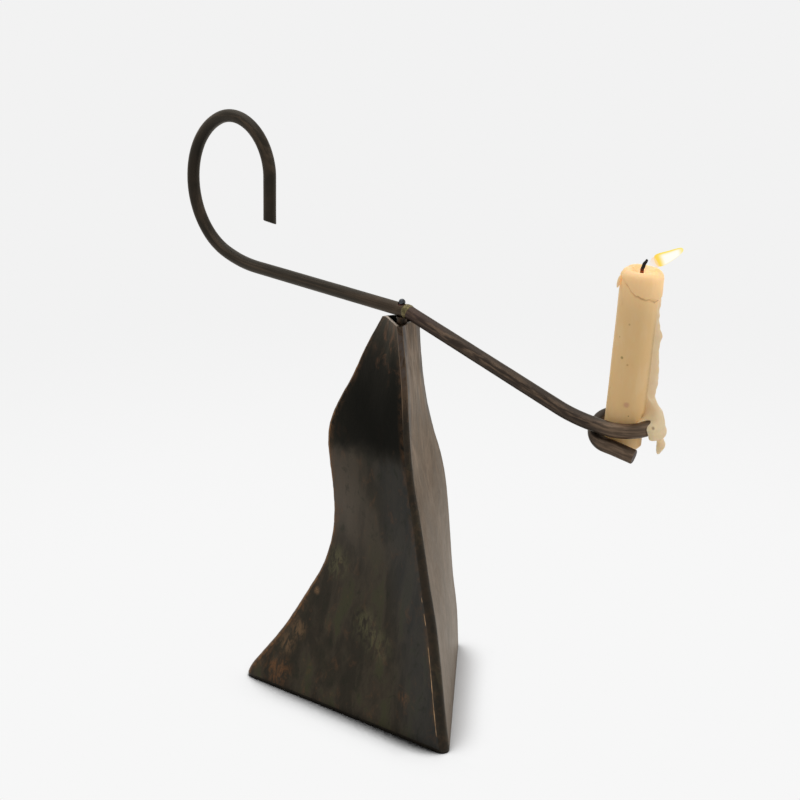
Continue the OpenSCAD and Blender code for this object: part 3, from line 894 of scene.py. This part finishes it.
def hook_path():
    kink = np.array((KINK_X, KINK_Z))
    to_hook = np.array((-cos(HOOK_RISE), sin(HOOK_RISE)))
    flat = [kink + (KINK_HALF + s) * to_hook
            for s in np.linspace(0, HOOK_STRAIGHT - KINK_HALF, int(HOOK_STRAIGHT / STEP))]
    aim = pi - HOOK_RISE
    for radius, turn in HOOK_BENDS:
        turn = radians(turn)
        centre = flat[-1] + radius * np.array((cos(aim - pi / 2), sin(aim - pi / 2)))
        steps = int(radius * turn / STEP) + 1
        flat += [centre + radius * np.array((cos(aim + pi / 2 - turn * i / steps),
                                             sin(aim + pi / 2 - turn * i / steps)))
                 for i in range(1, steps + 1)]
        aim -= turn
    start = flat[-1]
    steps = int(HOOK_TIP / STEP)
    flat += [start + HOOK_TIP * i / steps * np.array((cos(aim), sin(aim))) for i in (*range(1, steps - 2), steps)]
    return [np.array((x, 0.0, z)) for x, z in flat]


hook = hook_path()
hook_bar = sweep_bar("hook_bar_bent", hook, lambda path, i: np.array((0.0, -1.0, 0.0)), forged,
                     [HOOK_FINISH, HOOK_FINISH], "arm", "hook_bar", (0, 0.4), HOOK_SLANT)
print("hook bar:", round(sum(np.linalg.norm(b - a) for a, b in zip(hook, hook[1:]))), "mm of rod")

# %% [markdown]
# The candle bar slopes down, levels out beside the candle and winds round it for a little more
# than a full turn. The wound part sinks as it goes, so that it passes under its own start, and a
# short straight end follows.

# %% Path of the candle bar
RING_REACH = 149.2
RING_R = 15.3
RING_Z = TOWER_H - 27.2
LEVEL_FROM = 116.0
RING_TURN = 376
RING_DROPS = [(0, 0), (90, 0), (220, 1), (265, 2.2), (305, 6.4), (340, 9), (376, 10.1), (396, 12.6)]
RING_TAIL = 11.8
TAIL_FALL = 0.26


def straight_z(x):
    return KINK_Z - (x - KINK_X) * tan(SLOPE)


def level_z(t):
    span = RING_REACH - LEVEL_FROM
    return ((2 * t**3 - 3 * t**2 + 1) * straight_z(LEVEL_FROM)
            - (t**3 - 2 * t**2 + t) * span * tan(SLOPE) + (3 * t**2 - 2 * t**3) * RING_Z)


def candle_bar_path():
    first = KINK_X + KINK_HALF * cos(SLOPE)
    path = [(x, 0.0, straight_z(x)) for x in np.linspace(first, LEVEL_FROM, 70)[:-1]]
    path += [(LEVEL_FROM + (RING_REACH - LEVEL_FROM) * t, 0.0, level_z(t)) for t in np.linspace(0, 1, 25)[:-1]]
    for turn in np.linspace(0, RING_TURN, 100):
        a = radians(turn)
        path.append((RING_REACH + RING_R * sin(a), RING_R - RING_R * cos(a), RING_Z - curve_at(RING_DROPS, turn)))
    path = [np.array(p) for p in path]
    a = radians(RING_TURN)
    ahead = unit(np.array((cos(a), sin(a), -TAIL_FALL)))
    return path + [path[-1] + ahead * s for s in np.linspace(0, RING_TAIL, 8)[1:]]


wound = candle_bar_path()
candle_bar = sweep_bar("candle_bar_wound", wound,
                       lambda path, i: unit(np.cross((0, 0, 1), heading(path, i))), forged,
                       [CANDLE_BAR_FINISH, END_FINISH], "arm", "candle_bar", (0, 0.4))
print("candle bar:", round(sum(np.linalg.norm(b - a) for a, b in zip(wound, wound[1:]))), "mm of rod")

# %% [markdown]
# ## The pivot
#
# The bars meet in a brazed joint: a blob of brass, duller and greener than new brass. A steel pin
# with a polished ball head drops through the bar into a tube inside the tower. Turned parts are
# made by turning a profile round an axis.

# %% Turning a profile
def turned(name, profile, finishes, body, node, sides=48, place=None, sharp=SHARP, wander=None):
    """A solid of revolution from (radius, height) points; a radius of 0 closes it on the axis."""
    points, starts = [], []
    for r, z in profile:
        starts.append(len(points))
        for j in range(1 if r == 0 else sides):
            t = 2 * pi * j / sides
            extra = wander(t, z) if wander and r else 0
            p = np.array(((r + extra) * cos(t), (r + extra) * sin(t), z))
            points.append(place(p) if place else p)
    faces = []
    for k in range(len(profile) - 1):
        a, b = starts[k], starts[k + 1]
        for j in range(sides):
            n = (j + 1) % sides
            if profile[k][0] == 0:
                faces.append((a, b + n, b + j))
            elif profile[k + 1][0] == 0:
                faces.append((a + j, a + n, b))
            else:
                faces.append((a + j, a + n, b + n, b + j))
    if profile[0] == profile[-1]:
        cut = starts[-1]
        points = points[:cut]
        faces = [tuple(v if v < cut else v - cut for v in face) for face in faces]
    return piece(name, points, faces, finishes, body, node, sharp=sharp)


def brass_finish(name, fresh, dull, stain):
    f = Finish(name)
    flow = f.noise(f.place(), 2.6, 4, 0.6, 0.6)
    spots = f.noise(f.place(), 0.8, 3, 0.6)
    colour = f.blend(dull, fresh, flow.over(0.42, 0.6))
    colour = f.blend(colour, stain, spots.over(0.55, 0.7) * 0.7)
    return f.coat(Base_Color=colour, Metallic=0.75, Roughness=0.34 + 0.25 * spots,
                  Normal=f.bump(flow * 0.0003 + spots * 0.00005))


def ball_finish():
    f = Finish("polished_pin")
    smudge = f.noise(f.place(), 1.6, 3, 0.6)
    colour = f.blend(tone(70, 74, 78), tone(40, 36, 34), smudge.over(0.45, 0.65))
    return f.coat(Base_Color=colour, Metallic=0.95, Roughness=0.12 + 0.16 * smudge,
                  Normal=f.bump(smudge * 0.00002))


BRAZE_FINISH = brass_finish("brass_braze", tone(126, 114, 78), tone(84, 77, 48), tone(58, 52, 38))
COPPER_FINISH = brass_finish("copper_fillet", tone(96, 44, 28), tone(62, 20, 14), tone(40, 14, 10))
PIN_FINISH = ball_finish()

# %% Pin, ball and fillet
PIN_R = 1.5
BALL_R = 2.05
BAR_Z = KINK_Z + KINK_X * tan(HOOK_RISE)
SEAT_Z = BAR_Z - BAR_R + 0.25
WASHER_Z = SEAT_Z - 0.1 - 1.0
BALL_Z = BAR_Z + BAR_R + 0.6
BALL_SEAT_Z = BALL_Z - 1.7
PIN_REACH = 40

neck = sqrt(BALL_R**2 - PIN_R**2)
arc = [(BALL_R * cos(t), BALL_Z + BALL_R * sin(t)) for t in np.linspace(-np.arcsin(neck / BALL_R), pi / 2, 26)]
pin_profile = [(0, WASHER_Z - PIN_REACH), (PIN_R - 0.3, WASHER_Z - PIN_REACH),
               (PIN_R, WASHER_Z - PIN_REACH + 0.3)] + arc[:-1] + [(0, BALL_Z + BALL_R)]
turned("ball_headed_pin", pin_profile, PIN_FINISH, "arm", "pivot_pin")
turned("pin_fillet", [(PIN_R, BALL_SEAT_Z), (2.35, BALL_SEAT_Z), (2.2, BALL_SEAT_Z + 0.3),
                      (1.85, BALL_SEAT_Z + 0.62), (PIN_R, BALL_SEAT_Z + 0.8), (PIN_R, BALL_SEAT_Z)],
       COPPER_FINISH, "arm", "pin_braze",
       wander=lambda t, z: 0.06 * sin(3 * t + 1) + 0.04 * sin(5 * t))
print("ball centre at", round(BALL_Z, 2), "mm")

# %% [markdown]
# The brazed joint bends the arm by a little over 14 degrees within a few millimetres. It is swept
# like a bar, but its radius swells in the middle and wanders, as metal that has run and set.

# %% Brazed joint
def joint_path():
    turn = SLOPE - HOOK_RISE
    radius = KINK_HALF / tan(turn / 2)
    start = np.array((KINK_X - KINK_HALF * cos(HOOK_RISE), KINK_Z + KINK_HALF * sin(HOOK_RISE)))
    centre = start + radius * np.array((-sin(HOOK_RISE), -cos(HOOK_RISE)))
    path = [centre + radius * np.array((sin(HOOK_RISE + turn * t), cos(HOOK_RISE + turn * t)))
            for t in np.linspace(-0.15, 1.15, 17)]
    return [np.array((x, 0.0, z)) for x, z in path]


def brazed(s, t):
    """Radius of the blob: flush with the bars at its ends, proud of them in the middle."""
    share = s / 4.4
    return BAR_R - 0.08 + 0.36 * smooth(share * 3) * smooth((1 - share) * 3) * (1 + 0.4 * ripple(s / 1.5, 2 * t, 0.6))


braze = sweep_bar("kink_braze", joint_path(), lambda path, i: np.array((0.0, 1.0, 0.0)), brazed,
                  [BRAZE_FINISH, BRAZE_FINISH], "arm", "bar_braze", (0, 0))
print("braze stands", round(brazed(2.2, 1) - BAR_R, 2), "mm proud")

# %% [markdown]
# The bar is flat on its underside where it rests on the washer, and has a shallow round sinking
# on top for the ball. Both are cut with a Boolean modifier, as a drill and a file would do it.

# %% Cutting the seats
def cylinder_points(r, z0, z1, sides=64, centre=(0.0, 0.0)):
    ring = [(centre[0] + r * cos(2 * pi * j / sides), centre[1] + r * sin(2 * pi * j / sides)) for j in range(sides)]
    return [np.array((x, y, z)) for z in (z0, z1) for x, y in ring]


def cut_away(target, points, faces):
    """Takes the shape of those points and faces out of the target's mesh."""
    mesh = bpy.data.meshes.new("cutter")
    mesh.from_pydata([tuple(v * MM for v in p) for p in points], [], faces)
    tool = bpy.data.objects.new("cutter", mesh)
    bpy.context.scene.collection.objects.link(tool)
    step = target.modifiers.new("cut", "BOOLEAN")
    step.operation = "DIFFERENCE"
    step.solver = "EXACT"
    step.object = tool
    bpy.context.view_layer.update()
    shape = bpy.data.meshes.new_from_object(target.evaluated_get(bpy.context.evaluated_depsgraph_get()))
    target.modifiers.clear()
    shape.name = target.data.name
    target.data = shape
    bpy.data.objects.remove(tool)
    bpy.data.meshes.remove(mesh)
    return len(shape.polygons)


SEAT_R = 3.7
BALL_SEAT_R = 2.5
for bar in (hook_bar, braze):
    cut_away(bar, cylinder_points(SEAT_R, SEAT_Z - 5, SEAT_Z), tube_faces(2, 64))
    cut_away(bar, cylinder_points(BALL_SEAT_R, BALL_SEAT_Z, BALL_SEAT_Z + 8), tube_faces(2, 64))
print("hook bar now has", len(hook_bar.data.polygons), "faces")

# %% [markdown]
# ## The candle
#
# A cream dinner candle that has burnt for a while. Its rim has softened into a collar that sags
# lower on one side, and its top is a shallow bowl. Wax is lit from inside by the flame, which is
# given here by subsurface light, by a painted glow that makes the whole stick shine faintly and
# more near the top, and by painted light that pales the wax near the flame. Painted shade darkens
# the line under the collar and a band beside the run. The stick is a grid in its own frame, with
# the origin at its foot, and is then leant over with the ring.

# %% Frame of the candle
CANDLE_R = 10.5
CANDLE_H = 98.4
CANDLE_FOOT = 13.2
LEAN = radians(4)


def in_candle(p):
    """A point of the candle's own frame, in the arm's frame."""
    x, y, z = p[0], p[1], p[2] - CANDLE_FOOT
    return np.array((x * cos(LEAN) + z * sin(LEAN) + RING_REACH - 0.2, y + RING_R, z * cos(LEAN) - x * sin(LEAN) + RING_Z))


FLAME_FOOT = in_candle((4.9, 4.3, 102.9))
print("flame starts at", FLAME_FOOT.round(1))

# %% Wax
def wax_finish(name, body, pale, deep, glow_strength, spots=(), painted_shade_tone=None):
    f = Finish(name)
    clouds = f.noise(f.place((1, 1, 0.4)), 9, 4, 0.6, 0.3)
    grain = f.noise(f.place(), 1.3, 3, 0.6)
    colour = f.blend(body, pale, clouds.over(0.5, 0.72) * 0.55)
    colour = f.blend(colour, deep, clouds.over(0.46, 0.28) * 0.6)
    for centre, size, mark in spots:
        near = f.node("VectorMath", {"operation": "DISTANCE"}, {0: f.place(), 1: tuple(in_candle(centre))}, out="Value")
        colour = f.blend(colour, mark, near.over(size, size * 0.3) * 0.75)
    # Painted shade under the collar, beside the run and above the ring, read from the mesh's crease attribute.
    if painted_shade_tone:
        colour = f.blend(colour, painted_shade_tone, f.painted("crease") * (0.75 + 0.25 * grain.over(0.35, 0.65)))
    # Painted light: lit is 1 near the flame; there the wax is paled toward the flame's colour, less where painted shade
    # lies, and its painted glow brightens. The glow is there, fainter, all over the stick.
    reach = f.node("VectorMath", {"operation": "DISTANCE"}, {0: f.place(), 1: tuple(FLAME_FOOT)}, out="Value")
    lit = reach.over(36, 6)
    colour = f.blend(colour, tone(255, 222, 172), lit * (0.85 - 0.6 * f.painted("crease")) if painted_shade_tone else lit * 0.85)
    painted_glow_colour = f.blend(tone(122, 96, 62), tone(255, 190, 120), lit * lit)
    return f.coat(
        Base_Color=colour, Roughness=0.42 + 0.2 * grain, Subsurface_Weight=0.35,
        Subsurface_Radius=(1.0, 0.55, 0.25), Subsurface_Scale=0.004, IOR=1.44,
        Emission_Color=painted_glow_colour, Emission_Strength=glow_strength,
        Normal=f.bump(clouds * 0.0005 + grain * 0.00005))


WAX_FINISH = wax_finish("cream_wax", tone(238, 200, 142), tone(242, 210, 160), tone(218, 178, 112), 0.36, [
    ((0.92, -10.46, 52.3), 1.1, tone(128, 112, 48)),
    ((5.9, -8.7, 26.7), 2.2, tone(206, 152, 124)),
    ((2.9, -10.1, 71), 0.8, tone(196, 156, 100)), ((-2, -10.3, 63), 0.6, tone(190, 150, 96)),
    ((4.2, -9.6, 49), 0.8, tone(196, 152, 96)), ((-5.6, -8.9, 33), 0.7, tone(186, 144, 92)),
    ((7.2, -7.6, 20.5), 0.5, tone(120, 96, 66))], tone(132, 98, 58))
RUN_FINISH = wax_finish("poured_wax", tone(238, 214, 174), tone(244, 226, 194), tone(220, 190, 146), 0.36, [
    # The run's one dark spot, where it meets the ring, is painted shade in a small gap of the wax.
    ((20.6, -3.1, 17), 1.5, tone(104, 84, 56))])
print("wax finishes:", WAX_FINISH.name, RUN_FINISH.name)

# %% Body of the candle
AROUND = 112


COLLAR_LIMITS = [(-180, 94), (-130, 94), (-101, 92.2), (-86, 89.8), (-73, 87.8), (-63, 86.5), (-37, 85.2),
                 (-22, 84.6), (1, 83.4), (40, 84.4), (60, 86.5), (120, 90), (180, 94)]
COLLAR_OUT = 1.25
RIM_FROM = 94.4


def collar_limit(t):
    """How low the softened collar hangs, at a way round the candle."""
    return curve_at(COLLAR_LIMITS, (t * 180 / pi + 180) % 360 - 180) + 0.25 * sin(11 * t) + 0.15 * sin(23 * t)


def candle_radius(t, z):
    soft = smooth((z - collar_limit(t)) / 1.6)
    crease = exp(-(((z - collar_limit(t) + 0.2) / 0.6) ** 2))
    body = CANDLE_R + 0.12 * ripple(2 * sin(t) + 1, z / 16, 1.1) - 0.04
    return body + soft * (COLLAR_OUT + 0.12 * ripple(3 * sin(t), z / 3, 2.0)) - 0.3 * crease


def painted_shade_share(t, z):
    """How much painted shade a point gets: a brown shadow line under the collar, a band beside the run and a patch
    beside the run just above the ring.
    """
    way = (t * 180 / pi + 180) % 360 - 180
    under = exp(-(((z - collar_limit(t) + 0.1) / 0.6) ** 2)) * smooth((way + 112) / 20) * smooth((40 - way) / 12)
    under *= 0.55 + 0.45 * sin(3.1 * t + 1.2) ** 2
    shade = 0.5 * exp(-(((way - 18) / 12) ** 2)) * smooth((80 - z) / 20)
    corner = exp(-(((way - 6) / 9) ** 2)) * smooth((21.5 - z) / 2) * smooth((z - 15) / 2)
    return max(under, shade, corner)


def candle_points():
    """Profile rows from the foot, up the side, over the rim and down into the bowl."""
    rows = [("side", z, 1 - 0.09 * (1 - smooth(z / 1.2))) for z in (0, 0.25, 0.6, 1.2)]
    rows += [("side", z, 1.0) for z in np.linspace(2.2, 78, 60)]
    rows += [("side", z, 1.0) for z in np.linspace(78.6, RIM_FROM, 44)]
    lip = [(95.4, 0.25), (96.3, 0.65), (97.05, 1.35), (97.7, 2.2), (98.1, 3.1), (98.3, 4.0), (98.25, 4.7),
           (97.9, 5.3), (97.0, 6.5), (96.2, 7.7), (95.8, 9.3)]
    points = []
    for _, z, share in rows:
        for j in range(AROUND):
            t = 2 * pi * j / AROUND
            r = candle_radius(t, z) * share
            points.append((r * cos(t), r * sin(t), z))
    for z, back in lip:
        for j in range(AROUND):
            t = 2 * pi * j / AROUND
            r = candle_radius(t, RIM_FROM) - back
            dip = 0.3 * ripple(1.5 * cos(t), 1.5 * sin(t), 0.4) * smooth(back / 2)
            points.append((r * cos(t), r * sin(t), z + dip))
    return points, len(rows) + len(lip)


points, rows = candle_points()
faces = tube_faces(rows, AROUND, True, False)
points.append((0, 0, CANDLE_H - 2.9))
hub = len(points) - 1
faces += [((rows - 1) * AROUND + j, (rows - 1) * AROUND + (j + 1) % AROUND, hub) for j in range(AROUND)]
# The attribute named crease carries the painted shade for the wax finish.
candle = piece("candle_body", [in_candle(p) for p in points], faces, WAX_FINISH, "candle", "candle_stick",
               {"crease": [painted_shade_share(atan2(y, x), z) if hypot(x, y) > 9 else 0 for x, y, z in points]},
               radians(60))
print("candle body:", len(candle.data.polygons), "faces")

# %% [markdown]
# The wick is a plaited cord, charred black where it burns and reddish where it leaves the wax,
# where a painted glow also makes it shine.
# It stands up and curls over toward the flame.

# %% Wick
WICK_R = 0.95
WICK_TURN = radians(44)
WICK_BEND_R = 12


def wick_finish():
    f = Finish("charred_wick")
    ash = f.noise(f.place(), 0.5, 3, 0.7)
    low = f.node("VectorMath", {"operation": "DISTANCE"}, {0: f.place(), 1: tuple(in_candle((0, 0, 96)))}, out="Value")
    colour = f.blend(tone(14, 9, 7), tone(46, 36, 30), ash.over(0.55, 0.7))
    colour = f.blend(colour, tone(150, 62, 24), low.over(3.4, 1.0) * ash.over(0.4, 0.6))
    # Painted glow: the wick shines red-orange near where it leaves the wax.
    painted_wick_glow = f.blend((0, 0, 0), tone(190, 80, 20), low.over(3.0, 1.0) * ash.over(0.4, 0.6))
    return f.coat(Base_Color=colour, Roughness=0.85 + 0.1 * ash, Emission_Color=painted_wick_glow, Emission_Strength=0.35,
                  Normal=f.bump(ash * 0.0003))


def wick_path():
    rise = CANDLE_H - 2.6 + 0.6
    path = [np.array((0.0, 0.0, z)) for z in np.linspace(90, rise, 12)]
    for bend in np.linspace(0, radians(35), 16)[1:]:
        out = WICK_BEND_R * (1 - cos(bend))
        path.append(np.array((out * cos(WICK_TURN), out * sin(WICK_TURN), rise + WICK_BEND_R * sin(bend))))
    return [in_candle(p) for p in path]


def plaited(s, t):
    return WICK_R * (1 + 0.09 * sin(3 * t + 2.2 * s) + 0.05 * ripple(s, t, 3)) * (1 - 0.3 * smooth((s - 10) / 4))


WICK_FINISH = wick_finish()
sweep_bar("wick_cord", wick_path(), lambda path, i: unit(np.cross(heading(path, i), (sin(WICK_TURN), -cos(WICK_TURN), 0.0))),
          plaited, [WICK_FINISH, WICK_FINISH], "candle", "wick", (0, 0.25))
print("wick made")

# %% [markdown]
# Wax has run down one side and over the ring. The run is drawn as stations down the candle: its
# middle, its half width in degrees and how far it stands out. High up it is a soft hump that
# merges with the candle, and low down a squared oval, with some lumps. Where the ring sits in it,
# a ring-shaped channel is cut out, open below, so that the candle can be lifted out with its run.

# %% Wax run
STATIONS = [
    (88, 46, 20, 0.9), (84, 48, 22, 1.2), (77, 50, 23, 1.4), (71, 50, 23, 1.7), (66, 50, 23, 2.6),
    (62.5, 50, 24, 4.3), (59, 50, 24, 3.9), (53, 51, 24, 3.8), (46, 52, 24, 4.7), (38, 54, 24, 5.6),
    (32, 55, 23, 5.4), (27, 54, 21, 5), (23.5, 49, 21, 6.6), (20.8, 42, 23, 8.4), (19, 35, 28, 9.5),
    (17.6, 25, 41, 10.2), (16, 20, 44, 10.7), (14, 20, 42, 11.1), (12, 20, 38, 11.8), (10, 21, 35, 12.5),
    (9.2, 21, 30, 12.3), (8.4, 18, 16, 11.2), (6.6, 17.5, 12.5, 12.2), (4.2, 18, 13, 13.1), (2, 17, 11.5, 12.2),
    (0.6, 15, 8, 11.4), (-0.2, 13, 3, 11)]
RUN_LOW, RUN_TOP = STATIONS[-1][0], STATIONS[0][0]
RUN_BACK = 1.6
RUN_SIDES = 64
WAX_GAP = 0.35


def squared(v, power=0.62):
    return (1 if v >= 0 else -1) * abs(v) ** power


def run_rings():
    down = list(reversed(STATIONS))
    tables = [[(s[0], s[k]) for s in down] for k in (1, 2, 3)]
    rings = []
    for z in np.concatenate([np.linspace(RUN_LOW, 28, 80), np.linspace(28.8, RUN_TOP, 80)]):
        way, spread, out = (curve_at(table, z) for table in tables)
        soft = smooth((z - 22) / 9)
        far, near = CANDLE_R + out, CANDLE_R - RUN_BACK
        for j in range(RUN_SIDES):
            a = 2 * pi * j / RUN_SIDES
            lump = 0.36 * ripple(z / 2.6, 1.6 * a, 0.9) + 0.26 * ripple(z / 1.2, 2.6 * a, 2.2)
            lump *= smooth((RUN_TOP - z) / 12) * max(cos(a), 0) ** 0.5
            oval = (far + near) / 2 + (far - near) / 2 * squared(cos(a))
            across = squared(sin(a), 0.62 + 0.38 * soft)
            hump = CANDLE_R - 0.3 + (out + 0.3) * (0.5 + 0.5 * cos(pi * across)) ** 0.7 if cos(a) > 0 else near
            r = oval + (hump - oval) * soft + lump
            t = radians(way + spread * across)
            rings.append((r * cos(t), r * sin(t), z))
    return rings


rings = run_rings()
run = piece("wax_run_poured", [in_candle(p) for p in rings], tube_faces(len(rings) // RUN_SIDES, RUN_SIDES),
            RUN_FINISH, "candle", "wax_run", sharp=radians(60))
torus = [np.array((RING_REACH + (RING_R + (BAR_R + WAX_GAP) * cos(b)) * cos(a),
                   RING_R + (RING_R + (BAR_R + WAX_GAP) * cos(b)) * sin(a),
                   RING_Z + (BAR_R + WAX_GAP) * sin(b)))
         for a in np.linspace(0, 2 * pi, 96, endpoint=False) for b in np.linspace(0, 2 * pi, 32, endpoint=False)]
torus_faces = [((i * 32 + j), ((i + 1) % 96 * 32 + j), ((i + 1) % 96 * 32 + (j + 1) % 32), (i * 32 + (j + 1) % 32))
               for i in range(96) for j in range(32)]
cut_away(run, torus, torus_faces)
cut_away(run, cylinder_points(RING_R + BAR_R + WAX_GAP, RING_Z - 40, RING_Z, 96, (RING_REACH, RING_R)), tube_faces(2, 96))
print("wax run:", len(run.data.polygons), "faces")

# %% Drop on the rim
DRIP_WAY = radians(-130)


def drip_points():
    points = []
    for k in range(15):
        s = k / 14
        z = 88.2 + 6.4 * s
        r = 1.0 * sqrt(max(sin(pi * (0.06 + 0.9 * s ** 1.15)), 0.02))
        for j in range(20):
            t = 2 * pi * j / 20
            x, y = CANDLE_R + 1.4 + r * cos(t) * 0.9 - 0.9 * s, r * sin(t)
            points.append((x * cos(DRIP_WAY) - y * sin(DRIP_WAY), x * sin(DRIP_WAY) + y * cos(DRIP_WAY), z))
    return points


piece("rim_drop", [in_candle(p) for p in drip_points()], tube_faces(15, 20), RUN_FINISH, "candle", "rim_drip",
      sharp=radians(70))
print("drop on the rim made")

# %% [markdown]
# ## The flame
#
# A draught bends the flame away from the wick. It is only light, so the CAD model has no solid
# for it, and here it is two thin-walled leaves: the flame itself, white along its middle and
# yellow at its edges, and a faint haze between it and the wick. Neither lights anything strongly.

# %% Flame
def flame_finish(name, foot, middle, tip, heart, clear):
    """Colours along the flame, white where the painted heart is high, clear at shares below clear."""
    f = Finish(name)
    share = f.painted("share")
    colour = f.ramp(share, [(0.0, foot), (0.3, middle), (0.85, middle), (1.0, tip)])
    inside = f.painted("heart").over(0.15, 0.85) * share.over(0.08, 0.3) * share.over(1.0, 0.75)
    colour = f.blend(colour, heart, inside)
    return f.coat(Base_Color=(0, 0, 0), Roughness=1.0, Specular_IOR_Level=0.0, Emission_Color=colour,
                  Emission_Strength=1.0, Alpha=share.over(*clear))


def leaf(name, foot, tip, widths, finish, sides=36, stations=40, sag=0.5):
    """A leaf of light from foot to tip, whose half width follows (share, mm) points."""
    foot, tip = np.array(foot), np.array(tip)
    ahead = unit(tip - foot)
    side = unit(np.cross(ahead, (0, 0, 1)))
    up = np.cross(side, ahead)
    points, shares, hearts = [], [], []
    for k in range(stations):
        s = (1 - cos(pi * k / (stations - 1))) / 2
        r = curve_at(widths, s)
        at = foot + (tip - foot) * s - up * sag * sin(pi * s)
        for j in range(sides):
            t = 2 * pi * j / sides
            points.append(in_candle(at + r * (cos(t) * side * 0.72 + sin(t) * up)))
            shares.append(s)
            hearts.append(abs(cos(t)))
    return piece(name, points, tube_faces(stations, sides), finish, "candle", paint={"share": shares, "heart": hearts})


FLAME_FINISH = flame_finish("flame_glow", tone(255, 214, 96), tone(255, 230, 90), tone(255, 240, 140),
                            tone(255, 255, 246), (-0.1, 0.04))
HAZE_FINISH = flame_finish("flame_haze", tone(255, 206, 176), tone(255, 214, 170), tone(255, 220, 130),
                           tone(255, 224, 190), (-0.2, 1.6))
leaf("flame", (4.7, 4.0, 102.6), (13.1, 15.4, 109.2),
     [(0, 1.6), (0.03, 2.8), (0.12, 3.5), (0.3, 3.4), (0.5, 2.9), (0.75, 2.2), (0.92, 1.4), (0.98, 0.8), (1, 0.1)],
     FLAME_FINISH)
leaf("flame_haze", (3.0, 1.9, 99.8), (5.8, 5.4, 103.4), [(0, 0.6), (0.2, 1.8), (0.6, 3.0), (1, 2.4)], HAZE_FINISH, sag=0)
print("flame made")

# %% [markdown]
# ## Parts that keep their CAD shape
#
# The foot plate, the tube that guides the pin, its tacks and the washer are plain enough as they
# are. They only get finishes.

# %% Finishes for carried parts
def assign(node, finish):
    data = frame["nodes"][node].data
    data.materials.clear()
    data.materials.append(finish)


FOOT_FINISH = patina("patina_foot", dark=tone(34, 30, 25), warm=tone(62, 48, 36), wear_share=0.0, rough=0.5)
TUBE_FINISH = patina("patina_tube", dark=tone(40, 32, 26), warm=tone(84, 58, 38), wear_share=0.0, rough=0.45)
for node, finish in (("base_plate", FOOT_FINISH), ("socket_tube", TUBE_FINISH), ("socket_tacks", TUBE_FINISH),
                     ("thrust_washer", TUBE_FINISH)):
    assign(node, finish)
print("carried parts dressed")

# %% [markdown]
# ## Closing
#
# The box round the visual model is printed in millimetres. The visual model has to stay
# the size of the CAD model.

# %% Sizes and the end
visual_box = [list(corner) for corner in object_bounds()]
print("sizes in mm:", [[round(v / MM, 1) for v in corner] for corner in visual_box])
view = bpy.context.scene.view_settings
view.view_transform = "Standard"
